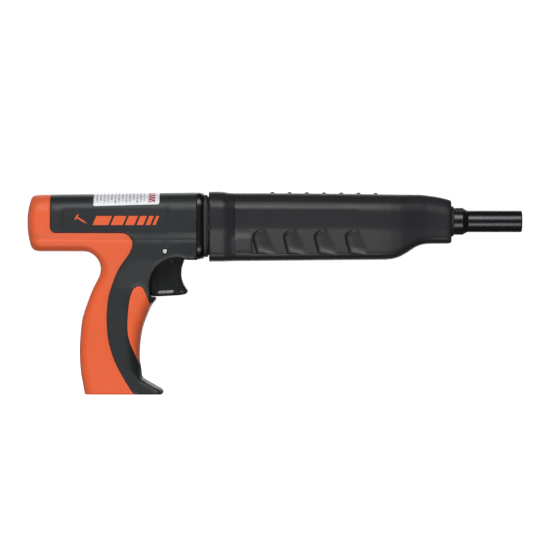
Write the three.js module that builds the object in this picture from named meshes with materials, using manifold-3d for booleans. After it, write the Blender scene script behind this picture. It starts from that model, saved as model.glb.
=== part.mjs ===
// Powder-actuated nail gun, single shot, trigger fired. Millimetres, +Z up, +X towards the muzzle.
// The origin lies on the plane of the grip's base, under the middle of the tool's length.
//
// How it works: the foregrip and barrel slide forward out of the receiver tube, which opens the
// chamber behind the loading port on the left side. Pressing the muzzle on the work pushes the
// barrel and the breech block back against the main spring. The trigger then tips the sear, which
// lets the firing pin go, and the charge drives the piston down the barrel onto the nail.

import * as THREE from "three";
import { mergeVertices } from "three/addons/utils/BufferGeometryUtils.js";
import Module from "manifold-3d";

const wasm = await Module();
wasm.setup();

// ---------------------------------------------------------------- driving dimensions
const LENGTH = 394.6; // back of the rear cap to the muzzle face
const BORE_Z = 137.9; // bore axis above the grip's base
const GAP = 0.3; // air between two pieces that touch on the real tool
const SEAM = GAP / 2; // each half stops this far short of the middle plane
const BACK_X = -LENGTH / 2;
const MUZZLE_X = LENGTH / 2;

const SHELL_FRONT_X = -62.4;
const SHELL_HALF_WIDTH = 23;
const SHELL_TOP_BACK_Z = 158.9;
const SHELL_TOP_FRONT_Z = 160.8;
const SHELL_BOTTOM_Z = 113.9;
const SHELL_WALL = 2.6;
const SKIN = 1.3; // thickness of the orange overmould
const CHEEK_TOP_Z = 122.9; // ledge where the trigger housing starts below the round body
const CHEEK_BOTTOM_Z = 107.1;
const CHEEK_HALF_WIDTH = 21.5;
const CHEEK_BACK_X = -113;

const POCKET = { x: -77.1, z: 86.6, r: 22.1 }; // round cut-out that the trigger stands in
const TRIGGER_PIVOT = { x: -87.4, z: 113.9 };
const SEAR_PIVOT = { x: -124, z: 113 };
const TRIGGER_HALF_WIDTH = 8;
const TRIGGER_SLOT = { x0: -104.5, x1: -69.5, z0: 74.5, z1: 112 }; // room for it in the handle
const TRIGGER_PIN_R = 1.6;
const SEAR_PIN_R = 1.5;

const TUBE_R = 18;
const TUBE_BORE_R = 15.6;
const TUBE_BACK_X = -190;
const TUBE_FRONT_X = -57.6;
const PORT = { x0: -110, x1: -78, half: 7.5, corner: 3 }; // loading port, left side
const SEAR_SLOT = { x0: -148, x1: -119, half: 3.9 };
const SADDLES_X = [-176, -156, -118, -76]; // ribs inside the shell that hold the tube
const BADGE = { x0: -167.1, x1: -85.3, z0: 130.4, z1: 147, corner: 1.8 };
const LABEL = { x0: -144.2, x1: -91.6, y1: 12, z0: 149.8 };

const BARREL_R = 15;
const BARREL_BACK_X = -114;
const BARREL_FRONT_X = 100;
const PISTON_BORE_R = 8;
const NAIL_BORE_R = 4.3;
const CHAMBER_R = 2.8;
const PRESS_TRAVEL = 10;
const OPEN_TRAVEL = 40;
const PAWL = { x0: -71.4, x1: -66.2, half: 2.9, z0: 116.2, z1: 127.9 };

const FOREGRIP_BACK_X = -52.7;
const FOREGRIP_FRONT_X = 140.5;
const FOREGRIP_WALL = 3;
const SPRING_RIB = { x0: 44, x1: 47.5 };
const TOP_RIBS = { firstX: -2.3, pitch: 13.8, count: 7, r: 2, length: 15 };
const FINGER_POCKETS_X = [-18.6, 5.6, 30, 54.2];

const HANDLE_SCREWS = [[-113, 98], [-125, 60], [-119, 28], [-77, 113.2]]; // x, z
const FOREGRIP_SCREWS = [[-44, 115.5], [22, 115.5], [80, 115.5]];
const SCREW = { headR: 3.3, headH: 2.4, shankR: 1.4, seatY: 9, endY: -9 };

const ROUND = 24; // sides of a large round piece
const SMALL = 14; // sides of a pin or screw
const FAR = 400; // beyond the tool on every side
const WIDE = 60; // beyond the tool's sides
const FINEST = 0.02; // details smaller than this are left out of the finished pieces

// ---------------------------------------------------------------- materials
const plastic = (color, roughness) =>
  new THREE.MeshStandardMaterial({ color, roughness, metalness: 0 });
const metal = (color, roughness) =>
  new THREE.MeshStandardMaterial({ color, roughness, metalness: 1 });
const blackNylon = plastic(0x2b2f31, 0.55);
const foregripNylon = plastic(0x2f3133, 0.6);
const orangeGrip = plastic(0xe8552a, 0.5);
const glossBlack = plastic(0x121415, 0.25);
const blackRubber = plastic(0x161718, 0.8);
const bufferRubber = plastic(0xb89a3a, 0.6);
const paper = plastic(0xe9eaec, 0.5);
const blackSteel = metal(0x3a3b3e, 0.35);
const brightSteel = metal(0xa9abae, 0.3);
const springSteel = metal(0x85868a, 0.35);

// ---------------------------------------------------------------- solids
function solid(geometry) {
  const bare = geometry.index ? geometry.toNonIndexed() : geometry.clone();
  bare.deleteAttribute("normal");
  bare.deleteAttribute("uv");
  const merged = mergeVertices(bare, 1e-4);
  return new wasm.Manifold(
    new wasm.Mesh({
      numProp: 3,
      vertProperties: merged.attributes.position.array,
      triVerts: new Uint32Array(merged.index.array),
    }),
  );
}

function geometryOf(manifold) {
  const mesh = manifold.getMesh();
  const geometry = new THREE.BufferGeometry();
  geometry.setAttribute("position", new THREE.BufferAttribute(mesh.vertProperties, 3));
  geometry.setIndex(new THREE.BufferAttribute(mesh.triVerts, 1));
  geometry.computeVertexNormals();
  return geometry;
}

const union = (...pieces) => pieces.reduce((a, b) => a.add(b));
const cut = (body, ...tools) => tools.reduce((a, b) => a.subtract(b), body);

// The largest body of a solid, without the slivers that a cut along a curved wall leaves.
function mainBody(manifold) {
  const bodies = manifold.simplify(FINEST).decompose();
  return bodies.reduce((a, b) => (a.volume() > b.volume() ? a : b));
}

function block(x0, x1, y0, y1, z0, z1) {
  const box = new THREE.BoxGeometry(x1 - x0, y1 - y0, z1 - z0);
  return solid(box.translate((x0 + x1) / 2, (y0 + y1) / 2, (z0 + z1) / 2));
}

// A round bar along X, on the bore axis unless y and z say otherwise.
function barX(r, x0, x1, y = 0, z = BORE_Z, sides = ROUND) {
  const bar = new THREE.CylinderGeometry(r, r, x1 - x0, sides);
  return solid(bar.rotateZ(Math.PI / 2).translate((x0 + x1) / 2, y, z));
}

function barY(r, y0, y1, x, z, sides = SMALL) {
  const bar = new THREE.CylinderGeometry(r, r, y1 - y0, sides);
  return solid(bar.translate(x, (y0 + y1) / 2, z));
}

// A turned piece on the bore axis, from [x, r] points that run forward along the outside first.
// The outline starts and ends on the axis, or closes on itself.
function turned(points, sides = ROUND) {
  const profile = points.map(([x, r]) => new THREE.Vector2(r, x));
  if (points[0][1] > 0) profile.push(profile[0].clone());
  const lathe = new THREE.LatheGeometry(profile, sides);
  return solid(lathe.rotateZ(-Math.PI / 2).translate(0, 0, BORE_Z));
}

// A plate between y0 and y1 whose outline is a THREE.Shape in x and z.
function plate(shape, y0, y1, curveSegments = 3) {
  const options = { depth: y1 - y0, bevelEnabled: false, curveSegments };
  const raised = new THREE.ExtrudeGeometry(shape, options);
  return solid(raised.rotateX(Math.PI / 2).translate(0, y1, 0));
}

function shapeOf(points) {
  return new THREE.Shape(points.map(([x, z]) => new THREE.Vector2(x, z)));
}

// Points along a smooth curve through the given ones.
function smooth(points, count) {
  const curve = new THREE.SplineCurve(points.map(([x, z]) => new THREE.Vector2(x, z)));
  return curve.getPoints(count).map((p) => [p.x, p.y]);
}

function roundedPort(x0, x1, z0, z1, r) {
  const shape = new THREE.Shape();
  shape.moveTo(x0 + r, z0);
  shape.lineTo(x1 - r, z0);
  shape.absarc(x1 - r, z0 + r, r, -Math.PI / 2, 0);
  shape.lineTo(x1, z1 - r);
  shape.absarc(x1 - r, z1 - r, r, 0, Math.PI / 2);
  shape.lineTo(x0 + r, z1);
  shape.absarc(x0 + r, z1 - r, r, Math.PI / 2, Math.PI);
  shape.lineTo(x0, z0 + r);
  shape.absarc(x0 + r, z0 + r, r, Math.PI, 1.5 * Math.PI);
  return shape;
}

// A rounded rectangle as a ring of [u, v] points; low and high are its corners' radii.
function rectangleRing(u0, u1, v0, v1, low, high, perCorner) {
  const corners = [
    [u1 - high, v1 - high, high, 0],
    [u0 + high, v1 - high, high, 1],
    [u0 + low, v0 + low, low, 2],
    [u1 - low, v0 + low, low, 3],
  ];
  return corners.flatMap(([u, v, r, quarter]) =>
    Array.from({ length: perCorner + 1 }, (_, i) => {
      const angle = ((quarter + i / perCorner) * Math.PI) / 2;
      return [u + r * Math.cos(angle), v + r * Math.sin(angle)];
    }),
  );
}

// Joins rings of equal count into a closed solid, with a flat fan at each end. The rings run
// anticlockwise when seen from the last one's outer side.
function loft(rings) {
  const count = rings[0].length;
  const index = [];
  for (let k = 0; k + 1 < rings.length; k++)
    for (let i = 0; i < count; i++) {
      const a = k * count + i;
      const b = k * count + ((i + 1) % count);
      index.push(a, b, b + count, a, b + count, a + count);
    }
  const last = (rings.length - 1) * count;
  for (let i = 1; i + 1 < count; i++) {
    index.push(0, i + 1, i);
    index.push(last, last + i, last + i + 1);
  }
  const position = rings.flat().flatMap((p) => [p.x, p.y, p.z]);
  const geometry = new THREE.BufferGeometry();
  geometry.setAttribute("position", new THREE.Float32BufferAttribute(position, 3));
  geometry.setIndex(index);
  return solid(geometry);
}

// Straight-line value at t from [t, value] stations.
function along(stations, t) {
  const last = stations.length - 1;
  if (t <= stations[0][0]) return stations[0][1];
  if (t >= stations[last][0]) return stations[last][1];
  const k = stations.findIndex(([at]) => at > t) - 1;
  const [t0, v0] = stations[k];
  const [t1, v1] = stations[k + 1];
  return v0 + ((v1 - v0) * (t - t0)) / (t1 - t0);
}

const rightHalf = () => block(-FAR, FAR, -FAR, -SEAM, -FAR, FAR);
const leftHalf = () => block(-FAR, FAR, SEAM, FAR, -FAR, FAR);

// A coil spring about an axis through centre, which runs along X, Y or Z.
class Helix extends THREE.Curve {
  constructor(radius, length, turns, axis, centre) {
    super();
    Object.assign(this, { radius, length, turns, axis, centre });
  }
  getPoint(t, target = new THREE.Vector3()) {
    const angle = t * this.turns * 2 * Math.PI;
    const [u, v] = [this.radius * Math.cos(angle), this.radius * Math.sin(angle)];
    const w = (t - 0.5) * this.length;
    const order = { x: [w, u, v], y: [v, w, u], z: [u, v, w] }[this.axis];
    return target.set(...order).add(this.centre);
  }
}

function coil(radius, wire, length, turns, axis, centre, stepsPerTurn = 8) {
  const path = new Helix(radius, length - 2 * wire, turns, axis, centre);
  const corners = Array.from({ length: 4 }, (_, i) => {
    const angle = (i / 4) * 2 * Math.PI;
    return [wire * Math.cos(angle), wire * Math.sin(angle)];
  });
  const steps = turns * stepsPerTurn;
  return solid(new THREE.ExtrudeGeometry(shapeOf(corners), { steps, extrudePath: path }));
}

// ---------------------------------------------------------------- handle outline
// How far the body's rear end pulls in at each x, which domes its back.
const REAR_INSET = [[BACK_X, 16], [BACK_X + 1, 10.8], [BACK_X + 2.1, 6], [BACK_X + 3.4, 3],
  [BACK_X + 5.8, 0.8], [BACK_X + 8.2, 0]];

// The grip's edges as [z, x], from its base up.
const GRIP_BACK = [[0, -151.8], [14.5, -154.6], [33, -155.8], [45, -155.4], [64.6, -152.3],
  [82.3, -145.9], [91.5, -141.3], [99.8, -139.1]];
const WEB = { x: -152.8, z: 99.9, r: 13.9 }; // fillet between the grip's back and the body
const GRIP_FRONT = [[0, -89.7], [2, -89.8], [3.9, -91], [6.1, -94.7], [9.8, -101.1],
  [12.9, -106.4], [21, -107.5], [30, -108.2], [44.6, -107.3], [53.4, -105.5], [62.2, -102.5],
  [71, -99], [78, -95], [92, -90], [107, -86], [CHEEK_TOP_Z, -86]];
const GRIP_HALF_WIDTH = [[0, 18.6], [9.8, 18], [30, 17.3], [62.2, 17.3], [85, 18.2],
  [107, 20.6], [CHEEK_TOP_Z, CHEEK_HALF_WIDTH]];
const GRIP_LEVELS = [0, 2, 3.9, 6.1, 9.8, 12.9, 21, 30, 44.6, 53.4, 62.2, 71, 78, 85, 92, 99.8,
  104.5, 108.5, 111.5, CHEEK_TOP_Z];

// Seams of the orange overmould, as closed outlines in x and z.
const REAR_REGION = [
  [-178.5, 170], [-178.5, 133], [-177.2, 129.6], [-174, 128.3], [-121, 128.2],
  ...smooth([[-119.5, 127.9], [-115.4, 125.4], [-113.4, 121.8], [-113.5, 117.4], [-116.2, 111.2],
    [-124.2, 99.6], [-130.2, 84.9], [-133.2, 70], [-133.7, 57], [-129.8, 32.8], [-123.8, 18.9],
    [-112.2, -0.5]], 22),
  [-110, -5], [-230, -5], [-230, 170],
];
const FRONT_REGION = [
  ...smooth([[-108.2, 85.8], [-111.2, 84.9], [-113.4, 82.2], [-115.1, 77], [-117.3, 55],
    [-115.1, 40.6], [-110.7, 30.2], [-108, 24.6]], 12),
  [-100, 22], [-85, 50], [-94, 67.5], [-99, 71.2], [-102.5, 79.7], [-104.6, 84],
];

function shellTop(x) {
  const slope = (SHELL_TOP_FRONT_Z - SHELL_TOP_BACK_Z) / (SHELL_FRONT_X - BACK_X);
  return SHELL_TOP_BACK_Z + slope * (x - BACK_X);
}

function ringX(x, halfWidth, zBottom, zTop, low, high, perCorner) {
  const most = Math.min(halfWidth, (zTop - zBottom) / 2) - 0.1;
  const [lowR, highR] = [low, high].map((r) => Math.min(r, most));
  const ring = rectangleRing(-halfWidth, halfWidth, zBottom, zTop, lowR, highR, perCorner);
  return ring.map(([y, z]) => new THREE.Vector3(x, y, z));
}

// The round upper body, pulled in by inset on every side. It runs on past the tool's shell, whose
// front is cut square later.
function upperBody(inset) {
  const stations = REAR_INSET.map(([x, pull]) => [x + inset, pull]);
  stations.push([SHELL_FRONT_X + 20, 0]);
  const rings = stations.map(([x, pull]) => {
    const total = inset + pull;
    const half = SHELL_HALF_WIDTH - total;
    const soften = total / 2;
    return ringX(x, half, SHELL_BOTTOM_Z + total, shellTop(x) - total, 11 - soften, 14 - soften, 4);
  });
  return loft(rings);
}

// The grip and the flat cheek above it, as level slices.
function gripBody(inset) {
  const top = CHEEK_TOP_Z - inset;
  const between = GRIP_LEVELS.filter((z) => z > inset + 0.5 && z < top - 0.5);
  const rings = [inset, ...between, top].map((z) => {
    const rise = Math.min(Math.max(z - WEB.z, 0), WEB.r);
    const inWeb = WEB.x + Math.sqrt(WEB.r ** 2 - rise ** 2);
    const back = (rise > 0 ? inWeb : along(GRIP_BACK, z)) + inset;
    const front = along(GRIP_FRONT, z) - inset;
    const half = along(GRIP_HALF_WIDTH, z) - inset;
    const r = 9 - inset / 2;
    return rectangleRing(back, front, -half, half, r, r, 3).map(
      ([x, y]) => new THREE.Vector3(x, y, z),
    );
  });
  return loft(rings);
}

// The housing over the trigger, between the round body and the trigger's pocket.
function cheekBody(inset) {
  const ring = (x) =>
    ringX(x, CHEEK_HALF_WIDTH - inset, CHEEK_BOTTOM_Z + inset, CHEEK_TOP_Z - inset, 3.5 - inset / 2,
      1, 3);
  return loft([ring(CHEEK_BACK_X), ring(SHELL_FRONT_X - inset)]);
}

// The air around the trigger, which reaches grow further into the handle.
function triggerPocket(grow) {
  const r = POCKET.r + grow;
  const shape = new THREE.Shape();
  shape.moveTo(FAR, CHEEK_BOTTOM_Z + grow);
  shape.lineTo(-71.5, CHEEK_BOTTOM_Z + grow);
  shape.lineTo(POCKET.x, POCKET.z + r);
  shape.absarc(POCKET.x, POCKET.z, r, Math.PI / 2, Math.PI);
  shape.lineTo(POCKET.x - r, 77.5 - grow);
  shape.lineTo(-95.1 - grow, 76.2 - grow);
  shape.lineTo(-97.8 - grow, 72.2 - grow);
  shape.lineTo(-92, 60);
  shape.lineTo(FAR, 60);
  return plate(shape, -WIDE, WIDE, 6);
}

function handleSolid(inset) {
  const whole = union(upperBody(inset), gripBody(inset), cheekBody(inset));
  return whole.subtract(triggerPocket(inset));
}

// ---------------------------------------------------------------- handle shells and overmould
function handleParts() {
  const behindFront = block(-FAR, SHELL_FRONT_X, -WIDE, WIDE, -FAR, FAR);
  const outer = handleSolid(0).intersect(behindFront);
  const skin = outer.subtract(handleSolid(SKIN));
  const hollow = handleSolid(SHELL_WALL + SKIN / 2);
  const tubeRoom = barX(TUBE_R + GAP, TUBE_BACK_X - GAP, 0);
  const slotHalf = TRIGGER_HALF_WIDTH + 0.7;
  const slot = TRIGGER_SLOT;
  const triggerSlot = block(slot.x0, slot.x1, -slotHalf, slotHalf, slot.z0, slot.z1);

  const bosses = HANDLE_SCREWS.map(([x, z]) => barY(4.2, -WIDE, WIDE, x, z));
  const pinBosses = [SEAR_PIVOT, TRIGGER_PIVOT].flatMap(({ x, z }) => [
    barY(4, -WIDE, -11, x, z),
    barY(4, 11, WIDE, x, z),
  ]);
  const saddles = SADDLES_X.map((x) => block(x, x + 2.4, -WIDE, WIDE, 118.5, FAR));
  const pinHoles = union(
    barY(TRIGGER_PIN_R + GAP, -WIDE, WIDE, TRIGGER_PIVOT.x, TRIGGER_PIVOT.z),
    barY(SEAR_PIN_R + GAP, -17, 17, SEAR_PIVOT.x, SEAR_PIVOT.z),
  );
  const regions = [REAR_REGION, FRONT_REGION].map((r) => plate(shapeOf(r), -WIDE, WIDE));
  const seams = union(...regions).subtract(handleSolid(SKIN + GAP));
  const rootedIn = handleSolid(SKIN + GAP + 0.5);
  const inside = union(...bosses, ...pinBosses, ...saddles).intersect(rootedIn);
  const shell = cut(cut(outer, hollow).add(inside), tubeRoom, triggerSlot, seams, pinHoles);

  const badgeRecess = plate(badgeOutline(GAP), -WIDE, -SHELL_HALF_WIDTH + 0.7);
  const pilots = HANDLE_SCREWS.map(([x, z]) =>
    barY(SCREW.shankR + GAP, SCREW.endY - 1, 1, x, z, 10));
  const port = plate(roundedPort(PORT.x0 - 1, PORT.x1 + 1, BORE_Z - PORT.half, BORE_Z + PORT.half,
    PORT.corner), 5, WIDE);
  const clearances = HANDLE_SCREWS.map(([x, z]) => barY(SCREW.shankR + 0.5, -1, WIDE, x, z, 10));
  const counterbores = HANDLE_SCREWS.map(([x, z]) =>
    barY(SCREW.headR + GAP, SCREW.seatY, WIDE, x, z));

  const overmould = (region, half) =>
    cut(skin.intersect(pulledIn(region)).intersect(half), tubeRoom, triggerSlot);
  return {
    handle_right: [cut(shell.intersect(rightHalf()), badgeRecess, ...pilots), blackNylon],
    handle_left: [cut(shell.intersect(leftHalf()), port, ...clearances, ...counterbores),
      blackNylon],
    rear_overmould_right: [overmould(REAR_REGION, rightHalf()), orangeGrip],
    rear_overmould_left: [overmould(REAR_REGION, leftHalf()), orangeGrip],
    front_overmould_right: [overmould(FRONT_REGION, rightHalf()), orangeGrip],
    front_overmould_left: [overmould(FRONT_REGION, leftHalf()), orangeGrip],
  };
}

function badgeOutline(grow) {
  const { x0, x1, z0, z1, corner } = BADGE;
  return roundedPort(x0 - grow, x1 + grow, z0 - grow, z1 + grow, corner + grow);
}

// The plate of a seam's outline, pulled in by the gap so that the skin stands clear of its recess.
function pulledIn(region) {
  const count = region.length;
  const doubleArea = region.reduce((sum, [x, z], i) => {
    const [nextX, nextZ] = region[(i + 1) % count];
    return sum + x * nextZ - nextX * z;
  }, 0);
  const inward = Math.sign(doubleArea) * GAP;
  const moved = region.map(([x, z], i) => {
    const [lastX, lastZ] = region[(i + count - 1) % count];
    const [nextX, nextZ] = region[(i + 1) % count];
    const length = Math.hypot(nextX - lastX, nextZ - lastZ);
    return [x - (inward * (nextZ - lastZ)) / length, z + (inward * (nextX - lastX)) / length];
  });
  return plate(shapeOf(moved), -WIDE, WIDE);
}

// ---------------------------------------------------------------- receiver
function receiverParts() {
  const tube = cut(
    turned([[TUBE_BACK_X, TUBE_BORE_R], [TUBE_BACK_X, TUBE_R], [TUBE_FRONT_X, TUBE_R],
      [TUBE_FRONT_X, TUBE_BORE_R]]),
    plate(roundedPort(PORT.x0, PORT.x1, BORE_Z - PORT.half, BORE_Z + PORT.half, PORT.corner), 5, 30),
    block(SEAR_SLOT.x0, SEAR_SLOT.x1, -SEAR_SLOT.half, SEAR_SLOT.half, BORE_Z - 25, BORE_Z - 8),
    block(PAWL.x0 - 0.5, PAWL.x1 + 0.5, -PAWL.half - GAP, PAWL.half + GAP, BORE_Z - 25, BORE_Z - 8),
  );
  const ring = cut(
    loft([
      ringX(-62.1, 22.8, 107.5, 160.6, 8, 14, 4),
      ringX(-58.2, 22.8, 107.5, 160.6, 8, 14, 4),
      ringX(-57.1, 22, 108.3, 159.8, 8, 14, 4),
    ]),
    barX(TUBE_R + GAP, -70, -50),
  );
  const bumper = cut(
    loft([
      ringX(-56.8, 21.4, 109.4, 158.9, 8, 13, 4),
      ringX(-54.6, 21.4, 109.4, 158.9, 8, 13, 4),
      ringX(-53.2, 20, 110.8, 157.5, 8, 13, 4),
    ]),
    barX(BARREL_R + 0.6, -70, -50),
  );
  const rearPlug = turned([[-192.2, 0], [-192.2, 9], [-189.8, 9], [-189.8, 15.2], [-185, 15.2],
    [-185, 8.5], [-172, 8.5], [-171, 7.5], [-171, 0]]);
  const triggerPin = barY(TRIGGER_PIN_R, -21, 21, TRIGGER_PIVOT.x, TRIGGER_PIVOT.z);
  const searPin = barY(SEAR_PIN_R, -16.5, 16.5, SEAR_PIVOT.x, SEAR_PIVOT.z);
  const triggerSpring = coil(2.7, 0.4, 4.2, 4, "y",
    new THREE.Vector3(TRIGGER_PIVOT.x, -7, TRIGGER_PIVOT.z));
  const searSpring = coil(2.7, 0.4, 4.2, 4, "y",
    new THREE.Vector3(SEAR_PIVOT.x, 6.4, SEAR_PIVOT.z));
  const badge = plate(badgeOutline(0), -SHELL_HALF_WIDTH + 0.1, -SHELL_HALF_WIDTH + 0.4);
  const labelBlock = block(LABEL.x0, LABEL.x1, -FAR, LABEL.y1, LABEL.z0, FAR);
  const label = upperBody(-0.6).subtract(upperBody(-GAP)).intersect(labelBlock);
  return {
    receiver_tube: [tube, blackSteel],
    receiver_front_ring: [ring, blackSteel],
    bumper_ring: [bumper, blackRubber],
    rear_plug: [rearPlug, brightSteel],
    trigger_pin: [triggerPin, brightSteel],
    sear_pin: [searPin, brightSteel],
    trigger_spring: [triggerSpring, springSteel],
    sear_spring: [searSpring, springSteel],
    badge: [badge, glossBlack],
    label: [label, paper],
  };
}

// ---------------------------------------------------------------- firing group
function firingParts() {
  const sideY = SEAR_SLOT.half - 1;
  const searOutline = [[-144, 128.6], [-140.2, 128.6], [-139.6, 120], [-132, 118], [-124, 117.2],
    [-112, 115.2], [-104.4, 114.4], [-104.4, 111.9], [-113, 111.2], [-120, 109.4], [-124, 108.8],
    [-132, 111], [-144, 118.6]];
  const sear = plate(shapeOf(searOutline), -sideY, sideY)
    .subtract(barY(SEAR_PIN_R + GAP, -5, 5, SEAR_PIVOT.x, SEAR_PIVOT.z));

  const breechBlock = cut(
    turned([[-150, 9.2], [-150, 15.2], [-114.4, 15.2], [-114.4, 1.6], [-126, 1.6], [-126, 9.2]]),
    block(-152, -129, -SEAR_SLOT.half, SEAR_SLOT.half, BORE_Z - 25, BORE_Z - 5),
  );
  const breechPlug = turned([[-155, 3.8], [-155, 13], [-150.3, 13], [-150.3, 8.9], [-148.2, 8.9],
    [-148.2, 3.8]]);
  const firingPin = turned([[-141, 0], [-141, 2.4], [-140.2, 3.2], [-132, 3.2], [-132, 8.8],
    [-126.4, 8.8], [-126.4, 1.2], [-115.3, 1.2], [-114.7, 0]]);
  const firingSpring = coil(5.2, 0.6, 15.4, 5, "x", new THREE.Vector3(-140.1, 0, BORE_Z));
  const mainSpring = coil(10.5, 1.1, 29.2, 6, "x", new THREE.Vector3(-170, 0, BORE_Z), 10);
  return {
    sear: [sear, blackSteel],
    breech_block: [breechBlock, brightSteel],
    breech_plug: [breechPlug, blackSteel],
    firing_pin: [firingPin, brightSteel],
    firing_pin_spring: [firingSpring, springSteel],
    main_spring: [mainSpring, springSteel],
  };
}

function triggerPart() {
  const face = new THREE.Shape();
  face.moveTo(-72.6, 110.3);
  face.lineTo(-72.1, 107.6);
  face.splineThru([[-74.1, 103.4], [-75.1, 97], [-74.6, 91], [-73.3, 87.4], [-71.1, 84.4],
    [-69.8, 82.2]].map(([x, z]) => new THREE.Vector2(x, z)));
  face.lineTo(-69.9, 80.8);
  face.lineTo(-71, 79.8);
  face.lineTo(-73.1, 79.1);
  face.lineTo(-94.6, 77.9);
  face.lineTo(-98.4, 78.2);
  face.lineTo(-98.9, 79.4);
  face.lineTo(-100.4, 92);
  face.lineTo(-100, 98);
  face.lineTo(-96.5, 110.3);
  const finger = plate(face, -TRIGGER_HALF_WIDTH, TRIGGER_HALF_WIDTH, 4);
  const arm = plate(shapeOf([[-80, 106], [-83.4, 116], [-87.4, 119], [-92, 116.5], [-101, 111.8],
    [-106.8, 110.8], [-106.6, 107], [-99, 106], [-94, 100]]), -4, 4);
  const bore = barY(TRIGGER_PIN_R + GAP, -20, 20, TRIGGER_PIVOT.x, TRIGGER_PIVOT.z);
  return { trigger: [union(finger, arm).subtract(bore), glossBlack] };
}

function pawlParts() {
  const { x0, x1, half, z0, z1 } = PAWL;
  const spring = coil(2.2, 0.4, 4.8, 4, "z", new THREE.Vector3((x0 + x1) / 2, 0, 113.5));
  return {
    barrel_pawl: [block(x0, x1, -half, half, z0, z1), brightSteel],
    pawl_spring: [spring, springSteel],
  };
}

// ---------------------------------------------------------------- foregrip
const FOREGRIP_TOP = [[-52.7, 161.4], [-41.5, 161.4], [-33.5, 160.2], [60, 159.6], [104, 159.1],
  [116.5, 159], [122.9, 158.2], [129.3, 157.3], [135.7, 155.9], [138.9, 155], [140.5, 153.4]];
const FOREGRIP_BOTTOM = [[-52.7, 105.7], [-41.5, 105.8], [-33.5, 106.1], [60, 106.9], [84, 107.2],
  [90.9, 107.5], [97.3, 108.8], [103.7, 111.8], [110.1, 116.1], [116.5, 119], [122.9, 119.9],
  [138.9, 120.2], [140.5, 121.8]];
const FOREGRIP_HALF_WIDTH = [[-52.7, 25], [-41.5, 25], [-33.5, 24.2], [84, 24.2], [97.3, 23.4],
  [110.1, 20.2], [122.9, 18], [138.9, 17.4], [140.5, 15.8]];

function foregripBody(inset, x0, x1) {
  const stations = FOREGRIP_BOTTOM.map(([x]) => x).filter((x) => x > x0 && x < x1);
  const rings = [x0, ...stations, x1].map((x) =>
    ringX(x, along(FOREGRIP_HALF_WIDTH, x) - inset, along(FOREGRIP_BOTTOM, x) + inset,
      along(FOREGRIP_TOP, x) - inset, 9 - inset, 12 - inset, 4),
  );
  return loft(rings);
}

// One finger scallop: upright at the back, sloping away at the front.
function fingerPocket(x) {
  const shape = shapeOf(smooth([[x, 127], [x + 3, 130.2], [x + 10, 130], [x + 14, 124],
    [x + 20.5, 113], [x + 15, 111], [x + 7, 112], [x + 2.6, 118], [x, 127]], 12).slice(0, -1));
  return union(plate(shape, -WIDE, -22.8), plate(shape, 22.8, WIDE));
}

function foregripParts() {
  const hull = foregripBody(0, FOREGRIP_BACK_X, FOREGRIP_FRONT_X);
  const hollow = foregripBody(FOREGRIP_WALL, FOREGRIP_BACK_X + 2.8, 131.8);
  const rib = block(SPRING_RIB.x0, SPRING_RIB.x1, -WIDE, WIDE, 100, 170);
  const bosses = FOREGRIP_SCREWS.map(([x, z]) => barY(3.9, -WIDE, WIDE, x, z));
  const ribs = Array.from({ length: TOP_RIBS.count }, (_, i) => {
    const x = TOP_RIBS.firstX + i * TOP_RIBS.pitch;
    const bump = new THREE.CylinderGeometry(TOP_RIBS.r, TOP_RIBS.r, TOP_RIBS.length, 8);
    bump.translate(x, 0, along(FOREGRIP_TOP, x) - 0.6);
    return solid(bump);
  });
  const pockets = FINGER_POCKETS_X.map(fingerPocket);
  const passage = union(barX(BARREL_R + 0.4, -80, 120), barX(13.8, 120, 160));
  const rootedIn = foregripBody(1.2, FOREGRIP_BACK_X + 2, FOREGRIP_FRONT_X - 2);
  const inside = union(rib, ...bosses).intersect(rootedIn);
  const shell = cut(cut(union(hull, ...ribs), hollow).add(inside), passage, ...pockets);
  const pilots = FOREGRIP_SCREWS.map(([x, z]) =>
    barY(SCREW.shankR + GAP, SCREW.endY - 1, 1, x, z, 10));
  const clearances = FOREGRIP_SCREWS.map(([x, z]) => barY(SCREW.shankR + 0.5, -1, WIDE, x, z, 10));
  const counterbores = FOREGRIP_SCREWS.map(([x, z]) =>
    barY(SCREW.headR + GAP, SCREW.seatY, WIDE, x, z));
  const noseBushing = turned([[129, 11.15], [129, 14.2], [131.5, 14.2], [131.5, 13.5], [140.3, 13.5],
    [140.3, 12.1], [142.5, 12.1], [142.9, 11.7], [142.9, 11.15]]);
  return {
    foregrip_right: [cut(shell.intersect(rightHalf()), ...pilots), foregripNylon],
    foregrip_left: [
      cut(shell.intersect(leftHalf()), ...clearances, ...counterbores), foregripNylon],
    nose_bushing: [noseBushing, blackSteel],
  };
}

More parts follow.
